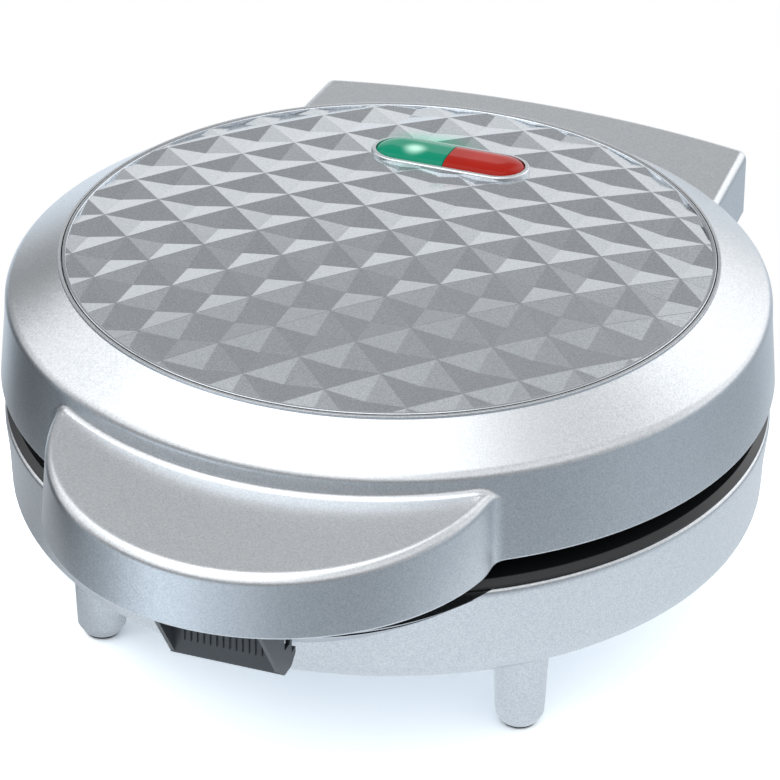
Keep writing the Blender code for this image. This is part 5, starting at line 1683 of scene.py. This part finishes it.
@dataclass
class Plates(Piece):
    """The two cooking plates: cast discs with a hexagonal field of bubbles, a ridge and a flange."""

    ridge_radius: float = 91.5
    ridge_width: float = 2.6
    web: float = 59.2
    ridge: float = 61.8
    flange_top: float = 58.8
    flange_thickness: float = 2.2
    thickness: float = 12.0
    mating: float = 62.0
    lower_flange: float = 104.1
    drip_radius: float = 105.6
    drip_low: float = 56.6
    drip_height: float = 0.5
    upper_flange: float = 103.7
    bubble_radius: float = 13.0
    bubble_depth: float = 9.6
    bubble_rim: float = 1.0
    bubble_pitch: float = 28.2
    field: float = 75.1
    screw_circle: float = 98.0
    screw_hole: float = 1.8
    screw_seat: float = 59.1
    screw_length: float = 13.0
    corner: float = 0.5
    ridge_edge: float = 0.8
    back_edge: float = 1.0
    flange_edge: float = 0.6
    drip_edge: float = 0.3
    bubble_steps: int = 10
    flare_steps: int = 4

    def bubble_places(self) -> list[Point]:
        """Return the bubbles' middles, row by row on a hexagonal grid.

        Returns:
            The places across and in depth.
        """
        row_step = self.bubble_pitch * math.sin(HALF_TURN / 3)
        reach = math.ceil(self.field / row_step)
        places = []
        for row in range(-reach, reach + 1):
            for column in range(-2 * reach, 2 * reach + 1):
                x = self.bubble_pitch * (column + (row % 2) / 2)
                if math.hypot(x, row_step * row) <= self.field:
                    places.append((x, row_step * row))
        return places

    def screw_places(self) -> list[Point]:
        """Return where the three screws of a plate sit, the first at the back left."""
        turns = [QUARTER_TURN + HALF_TURN / 3 + FULL_TURN * index / 3 for index in range(3)]
        return [(self.screw_circle * math.cos(turn), self.screw_circle * math.sin(turn)) for turn in turns]

    def bubble(self) -> Solid:
        """Return the form of one bubble with its flared mouth, at the origin.

        Returns:
            The form.
        """
        middle = self.web + self.bubble_radius - self.bubble_depth
        drop = middle - self.web + self.bubble_rim
        both = self.bubble_radius + self.bubble_rim
        mouth = math.sqrt(both ** 2 - drop ** 2)
        turn = -math.asin(drop / both)
        ball = arc((0.0, middle), self.bubble_radius, -QUARTER_TURN, turn, self.bubble_steps)
        corner = (mouth, self.web - self.bubble_rim)
        flare = arc(corner, self.bubble_rim, turn + HALF_TURN, QUARTER_TURN, self.flare_steps)
        above = self.web + OVERRUN
        profile = [(0.0, ball[0][1]), *ball[1:], *flare[1:], (mouth, above), (0.0, above)]
        return turned("bubble", [(radius, height + WELD) for radius, height in profile], SMALL_STEPS)

    def plate(self, name: str, edge: Sequence[Triple]) -> Solid:
        """Return a plate that lies bubbles up.

        Args:
            name: Name of the new piece.
            edge: The (radius, height, rounding) corners of its flange's outer edge.

        Returns:
            The plate.
        """
        inner = self.ridge_radius - self.ridge_width
        low = self.flange_top - self.flange_thickness
        outer, back = self.ridge_radius, self.web - self.thickness
        plate = turned(name, rounded([
            (0.0, self.web, 0.0), (inner, self.web, self.corner), (inner, self.ridge, self.ridge_edge),
            (outer, self.ridge, self.ridge_edge), (outer, self.flange_top, self.corner), *edge,
            (outer, low, self.corner), (outer, back, self.back_edge), (0.0, back, 0.0),
        ], steps=4))
        first = self.bubble()
        tools = [copied(first, "bubble_copy", (x, y, 0.0)) for x, y in self.bubble_places()]
        bpy.data.objects.remove(first, do_unlink=True)
        choose(tools[0])
        for tool in tools:
            tool.select_set(True)
        bpy.ops.object.join()
        cut(plate, tools[0])
        for x, y in self.screw_places():
            ends = (x, y, low - OVERRUN), (x, y, self.flange_top + OVERRUN)
            cut(plate, rod("screw_hole", self.screw_hole, *ends))
        return plate

    def build(self) -> None:
        """Model both plates and their screws and dress them."""
        low = self.flange_top - self.flange_thickness
        lower = self.plate("lower_plate_cast", [
            (self.lower_flange, self.flange_top, self.flange_edge),
            (self.drip_radius, self.drip_low + self.drip_height, self.drip_edge),
            (self.drip_radius, self.drip_low, 0.0),
        ])
        upper = turned_over(self.plate("upper_plate_cast", [
            (self.upper_flange, self.flange_top, self.flange_edge), (self.upper_flange, low, 0.0),
        ]), self.mating)
        self.placed(lower, PLATE_COATING, "base", "nonstick_plate", ["lower_cooking_plate"])
        self.placed(upper, PLATE_COATING, "lid", "nonstick_plate", ["upper_cooking_plate"])
        screw = Screw().build("plate_screw", self.screw_seat, self.screw_length)
        for index, (x, y) in enumerate(self.screw_places(), 1):
            below = copied(screw, f"lower_screw_{index}", (x, y, 0.0))
            above = turned_over(copied(screw, f"upper_screw_{index}", (-x, y, 0.0)), self.mating)
            self.placed(below, ZINC, "base", "steel_screw", [f"lower_plate_screw_{index}"])
            self.placed(above, ZINC, "lid", "steel_screw", [f"upper_plate_screw_{index}"])
        bpy.data.objects.remove(screw, do_unlink=True)


@dataclass
class Fittings(Piece):
    """The small pieces that show outside: foot pads, cord gland, hinge pins, handle cover and its screws."""

    pad_radius: float = 4.6
    pad_edge: float = 0.5
    stem_radius: float = 2.0
    stem: float = 5.0
    stem_edge: float = 0.4
    gland_bore: float = 3.7
    gland_flange_radius: float = 8.6
    gland_flange: float = 1.8
    gland_tail: float = 7.4
    gland_mouth_edge: float = 0.7
    gland_flange_edge: float = 0.8
    gland_root_edge: float = 0.3
    gland_tail_edge: float = 0.6
    gland_bore_edge: float = 0.4
    pin_first: float = 43.7
    pin_end: float = 58.4
    pin_tip_edge: float = 0.5
    pin_head_radius: float = 4.6
    pin_head: float = 1.6
    pin_seat_edge: float = 0.2
    pin_head_edge: float = 0.8
    cover_low: float = 65.4
    cover_thickness: float = 2.0
    cover_edge: float = 0.35
    slot_half: float = 15.6
    slot_front: float = 137.4
    screw_spread: float = 36.0
    screw_reach: float = 123.0
    screw_length: float = 10.3
    screw_hole: float = 1.8

    def pad(self) -> Solid:
        """Return one foot pad with its stem, at the origin.

        Returns:
            The pad.
        """
        height = Base().pad_height
        return turned("pad", rounded([
            (0.0, height + self.stem, 0.0), (self.stem_radius, height + self.stem, self.stem_edge),
            (self.stem_radius, height, 0.0), (self.pad_radius, height, 0.0),
            (self.pad_radius, 0.0, self.pad_edge), (0.0, 0.0, 0.0),
        ], steps=5), SMALL_STEPS)

    def gland(self) -> Solid:
        """Return the cord gland: a flanged rubber bush with a rounded mouth.

        Returns:
            The gland.
        """
        base = Base()
        face = self.gland_flange + FIT
        gland = turned("cord_gland_bush", rounded([
            (self.gland_bore, face, self.gland_mouth_edge),
            (self.gland_flange_radius, face, self.gland_flange_edge),
            (self.gland_flange_radius, FIT, self.gland_root_edge),
            (base.gland_radius, FIT, 0.0), (base.gland_radius, -self.gland_tail, self.gland_tail_edge),
            (self.gland_bore, -self.gland_tail, self.gland_bore_edge),
        ], steps=5), SMALL_STEPS)
        return moved(gland, (0.0, base.box_back, base.gland_height), (-QUARTER_TURN, 0.0, 0.0))

    def hinge_pin(self, name: str, side: int) -> Solid:
        """Return one hinge pin, its domed head on the inner side of the ear.

        Args:
            name: Name of the new piece.
            side: -1 for the left, 1 for the right.

        Returns:
            The pin.
        """
        radius, head = HINGE_PIN.radius, self.pin_first - self.pin_head
        pin = turned(name, rounded([
            (0.0, self.pin_end, 0.0), (radius, self.pin_end, self.pin_tip_edge),
            (radius, self.pin_first, 0.0),
            (self.pin_head_radius, self.pin_first, self.pin_seat_edge),
            (self.pin_head_radius, head, self.pin_head_edge), (0.0, head, 0.0),
        ], steps=5), SMALL_STEPS)
        return moved(pin, (0.0, HINGE_PIN.y, HINGE_PIN.z), (0.0, side * QUARTER_TURN, 0.0))

    def cover(self) -> Solid:
        """Return the plate that closes the handle from below, open where the latch swings.

        Returns:
            The cover.
        """
        lid = Lid()
        high = self.cover_low + self.cover_thickness
        cover = worked(lid.handle(lid.handle_wall + FIT, lid.handle_low - OVERRUN), block(
            "level", (-lid.handle_radius, -2 * lid.handle_radius - lid.handle_centre, self.cover_low),
            (lid.handle_radius, 0.0, high),
        ), Cut.KEEP)
        cover.name = "handle_cover_plate"
        low, top = self.cover_low - OVERRUN, high + OVERRUN
        cut(cover, rod("lid_wall", lid.edge_radius + FIT, (0.0, 0.0, low), (0.0, 0.0, top), ROUND_STEPS))
        corners = (-self.slot_half, -self.slot_front, low), (self.slot_half, -lid.edge_radius, top)
        cut(cover, block("slot", *corners))
        eased(cover, self.cover_edge, rim_at(self.cover_low), segments=3)
        for side in (-1, 1):
            place = (side * self.screw_spread, -self.screw_reach)
            cut(cover, rod("screw_hole", self.screw_hole, (*place, low), (*place, top)))
        return cover

    def build(self) -> None:
        """Model the fittings and dress them."""
        pad = self.pad()
        spread = Base().foot_spread
        for end, y in (("front", -spread), ("rear", spread)):
            for side, x in (("left", -spread), ("right", spread)):
                self.placed(copied(pad, f"pad_{end}_{side}", (x, y, 0.0)), RUBBER, "base", "rubber_feet",
                            [f"foot_pad_{end}_{side}"])
        self.placed(self.gland(), RUBBER, "base", "rubber_gland", ["cord_gland"])
        screw = turned_over(Screw().build("cover_screw", -FIT, self.screw_length), 0.0)
        for name, side in (("left", -1), ("right", 1)):
            self.placed(self.hinge_pin(f"pin_{name}", side), ZINC, "base", "steel_pin", [f"hinge_pin_{name}"])
            place = (side * self.screw_spread, -self.screw_reach, self.cover_low - 2 * FIT)
            self.placed(copied(screw, f"cover_screw_{name}", place), ZINC, "lid", "steel_screw",
                        [f"handle_cover_screw_{name}"])
        self.placed(self.cover(), HOUSING_PAINT, "lid", "silver_housing", ["handle_cover"])
        for used in (pad, screw):
            bpy.data.objects.remove(used, do_unlink=True)


class SmallParts:
    """CAD nodes that keep their own shape and get their real finish."""

    finishes: dict[str, Finish] = {
        "lower_heat_shield": ZINC,
        "upper_heat_shield": ZINC,
        "lower_heating_element": SHEATH,
        "upper_heating_element": SHEATH,
        "thermostat": STEATITE,
        "thermal_fuse": STEATITE,
        "terminal_block": STEATITE,
        "lamp_holder": STEATITE,
        "green_lamp": LAMP_GLASS,
        "red_lamp": LAMP_GLASS,
        "latch_pin": ZINC,
    }

    def build(self) -> None:
        """Give each of these nodes its finish."""
        for name, finish in self.finishes.items():
            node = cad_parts[name]
            node.data.materials.clear()
            node.data.materials.append(finish.material())
            LOG.info("%s: %s", name, finish.name)


# ---------------------------------------------------------------- studio


@dataclass(frozen=True)
class ProductCamera:
    """The camera, fitted to the photograph by the body's circles, feet and diamonds."""

    distance: float = 1320.78
    elevation: float = math.radians(29.91)
    azimuth: float = math.radians(19.92)
    roll: float = math.radians(0.74)
    shift_right: float = 0.63
    shift_up: float = -38.18
    lens: float = 223.2565
    sensor: float = 36.0

    def build(self) -> None:
        """Set the camera up at the photograph's viewing angle."""
        rim = AXIS + Vector((0.0, 0.0, Panel().height * MM))
        across = math.cos(self.elevation)
        back = Vector((
            math.sin(self.azimuth) * across, -math.cos(self.azimuth) * across, math.sin(self.elevation),
        ))
        right = Vector((math.cos(self.azimuth), math.sin(self.azimuth), 0.0))
        up = back.cross(right)
        place = rim + (back * self.distance + right * self.shift_right + up * self.shift_up) * MM
        level = right * math.cos(self.roll) + up * math.sin(self.roll)
        upright = up * math.cos(self.roll) - right * math.sin(self.roll)
        data = bpy.data.cameras.new("product_camera")
        data.lens = self.lens
        data.sensor_width = self.sensor
        camera = bpy.data.objects.new("product_camera", data)
        bpy.context.scene.collection.objects.link(camera)
        camera.matrix_world = Matrix.Translation(place) @ Matrix((level, upright, back)).transposed().to_4x4()
        bpy.context.scene.camera = camera


@dataclass(frozen=True)
class Band:
    """One belt of the surround: its tones by compass direction, in degrees from the back to the right.

    It takes over from the belt below between two elevations, also in degrees.
    """

    tones: tuple[Point, ...]
    tint: Triple = (1.0, 1.0, 1.0)
    low: float = -90.0
    high: float = -90.0

    def build(self, tree: Tree, compass: Socket) -> Socket:
        """Add the belt's colour ramp and return its colour.

        Args:
            tree: The node tree that gets the nodes.
            compass: Socket of the compass share.

        Returns:
            Socket of the belt's colour.
        """
        ramp = add_node(tree, "ShaderNodeValToRGB", inputs={"Fac": compass})
        ramp.color_ramp.interpolation = "EASE"
        while len(ramp.color_ramp.elements) < len(self.tones):
            ramp.color_ramp.elements.new(0.5)
        for element, (degrees, tone) in zip(ramp.color_ramp.elements, self.tones):
            element.position = (degrees + 180.0) / 360.0
            element.color = (*(tone * share for share in self.tint), 1.0)
        return ramp.outputs["Color"]


@dataclass(frozen=True)
class Studio:
    """A white studio: pale round table, softbox overhead and a surround of pale cards."""

    table_radius: float = 0.19
    table_steps: int = 128
    table_drop: float = 0.2
    table_colour: str = "#F1F5F8"
    camera_gain: float = 1.9
    fade_start: float = 0.115
    fade_end: float = 0.18
    softbox_place: Triple = (-0.33, -0.46, 1.25)
    softbox_width: float = 1.4
    softbox_depth: float = 1.9
    softbox_tone: float = 1.25
    mirrored_share: float = 0.8
    table_belt: Band = Band((
        (-180.0, 1.0), (-150.0, 0.95), (-130.0, 0.60), (-108.0, 0.28), (-90.0, 0.45), (-60.0, 0.95),
        (60.0, 0.92), (120.0, 1.02), (150.0, 1.06), (180.0, 1.0),
    ), (0.93, 1.0, 1.07))
    floor_belt: Band = Band((
        (-180.0, 0.74), (-145.0, 1.20), (-105.0, 0.40), (-78.0, 0.10), (-60.0, 0.12), (-40.0, 1.1),
        (-24.0, 1.1), (4.0, 0.75), (30.0, 0.50), (75.0, 0.58), (120.0, 0.42), (155.0, 0.46), (180.0, 0.74),
    ), (0.90, 1.0, 1.10))
    wall_belt: Band = Band((
        (-180.0, 0.3), (-120.0, 0.3), (-84.0, 1.1), (-66.0, 0.5), (-52.0, 0.15), (-40.0, 0.6), (-30.0, 1.05),
        (2.0, 1.0), (14.0, 1.5), (50.0, 1.4), (100.0, 0.6), (140.0, 0.3), (180.0, 0.3),
    ), low=-2.0, high=0.0)
    upper_belt: Band = Band((
        (-180.0, 1.35), (-110.0, 1.2), (-92.0, 1.45), (-66.0, 1.5), (-48.0, 0.46), (-30.0, 0.46),
        (-3.0, 0.48), (12.0, 1.8), (40.0, 1.8), (58.0, 0.9), (110.0, 1.15), (180.0, 1.35),
    ), low=20.0, high=23.0)
    ceiling_tone: float = 0.8
    ceiling_low: float = 36.0
    ceiling_high: float = 72.0

    def build(self) -> None:
        """Set up table, light and surround."""
        self.table()
        self.softbox()
        self.surround()
        bpy.context.scene.view_settings.view_transform = "Standard"

    def compass(self, tree: Tree, place: Socket) -> Socket:
        """Turn a place or direction into its compass share, 0 to 1 from the front leftwards.

        Args:
            tree: The node tree that gets the nodes.
            place: Socket of the place or direction.

        Returns:
            Socket of the share.
        """
        split = add_node(tree, "ShaderNodeSeparateXYZ", inputs={"Vector": place})
        turn = calculated(tree, "ARCTAN2", split.outputs["X"], split.outputs["Y"])
        return remapped(tree, turn, (-HALF_TURN, HALF_TURN), (0.0, 1.0))

    def table(self) -> None:
        """Add the pale table; a camera sees it fade to white away from the object."""
        deselect()
        bpy.ops.mesh.primitive_circle_add(
            vertices=self.table_steps, radius=self.table_radius, fill_type="NGON",
            location=(0.0, 0.0, -self.table_drop * MM),
        )
        floor = settled("table")
        made = bpy.data.materials.new("white_table")
        made.use_nodes = True
        tree = made.node_tree
        tree.nodes.clear()
        out = add_node(tree, "ShaderNodeOutputMaterial")
        path = add_node(tree, "ShaderNodeLightPath")
        seen = path.outputs["Is Camera Ray"]
        own = linear(self.table_colour)
        bright = (*(value * self.camera_gain for value in own[:3]), 1.0)
        matt = add_node(tree, "ShaderNodeBsdfDiffuse", inputs={"Color": blended(tree, seen, own, bright)})
        place = add_node(tree, "ShaderNodeTexCoord").outputs["Object"]
        mirrored_tone = self.table_belt.build(tree, self.compass(tree, place))
        tone = blended(tree, seen, mirrored_tone, grey(1.0))
        white = add_node(tree, "ShaderNodeEmission", inputs={"Color": tone, "Strength": 1.0})
        away = vector_node(tree, "LENGTH", place).outputs["Value"]
        fade = remapped(tree, away, (self.fade_start, self.fade_end), (0.0, 1.0), "SMOOTHSTEP")
        share = calculated(tree, "MULTIPLY", fade, seen)
        mirrored = calculated(tree, "MULTIPLY_ADD", path.outputs["Is Glossy Ray"], self.mirrored_share, share)
        mixed = add_node(tree, "ShaderNodeMixShader", inputs={
            0: mirrored, 1: matt.outputs["BSDF"], 2: white.outputs["Emission"],
        })
        tree.links.new(mixed.outputs["Shader"], out.inputs["Surface"])
        floor.data.materials.append(made)

    def softbox(self) -> None:
        """Hang the softbox over the object."""
        data = bpy.data.lights.new("softbox", "AREA")
        data.shape = "RECTANGLE"
        data.size = self.softbox_width
        data.size_y = self.softbox_depth
        data.energy = self.softbox_tone * math.pi * self.softbox_width * self.softbox_depth
        lamp = bpy.data.objects.new("softbox", data)
        lamp.location = self.softbox_place
        bpy.context.scene.collection.objects.link(lamp)

    def surround(self) -> None:
        """Paint the surround: white where a camera looks, graded where the lacquer mirrors it."""
        world = bpy.data.worlds.new("studio")
        bpy.context.scene.world = world
        world.use_nodes = True
        tree = world.node_tree
        tree.nodes.clear()
        out = add_node(tree, "ShaderNodeOutputWorld")
        place = add_node(tree, "ShaderNodeTexCoord")
        split = add_node(tree, "ShaderNodeSeparateXYZ", inputs={"Vector": place.outputs["Generated"]})
        compass = self.compass(tree, place.outputs["Generated"])
        tone = self.floor_belt.build(tree, compass)
        belts = [
            (belt.build(tree, compass), belt.low, belt.high) for belt in (self.wall_belt, self.upper_belt)
        ]
        for colour, *elevations in (*belts, (grey(self.ceiling_tone), self.ceiling_low, self.ceiling_high)):
            low, high = (math.sin(math.radians(elevation)) for elevation in elevations)
            reach = remapped(tree, split.outputs["Z"], (low, high), (0.0, 1.0), "SMOOTHSTEP")
            tone = blended(tree, reach, tone, colour)
        graded = add_node(tree, "ShaderNodeBackground", inputs={"Color": tone, "Strength": 1.0})
        white = add_node(tree, "ShaderNodeBackground", inputs={"Color": grey(1.0), "Strength": 1.0})
        path = add_node(tree, "ShaderNodeLightPath")
        seen = calculated(tree, "MAXIMUM", path.outputs["Is Camera Ray"], path.outputs["Is Transmission Ray"])
        both = add_node(tree, "ShaderNodeMixShader", inputs={
            0: seen, 1: graded.outputs["Background"], 2: white.outputs["Background"],
        })
        tree.links.new(both.outputs["Shader"], out.inputs["Surface"])


def main() -> None:
    """Build the studio, the object's finer shapes and its finishes."""
    logging.basicConfig(level=logging.INFO, format="%(name)s %(message)s")
    ProductCamera().build()
    Studio().build()
    SmallParts().build()
    for assembly in (Lid(), Panel(), Indicator(), Base(), Latch(), Plates(), Fittings()):
        assembly.build()


if __name__ == "__main__":
    main()
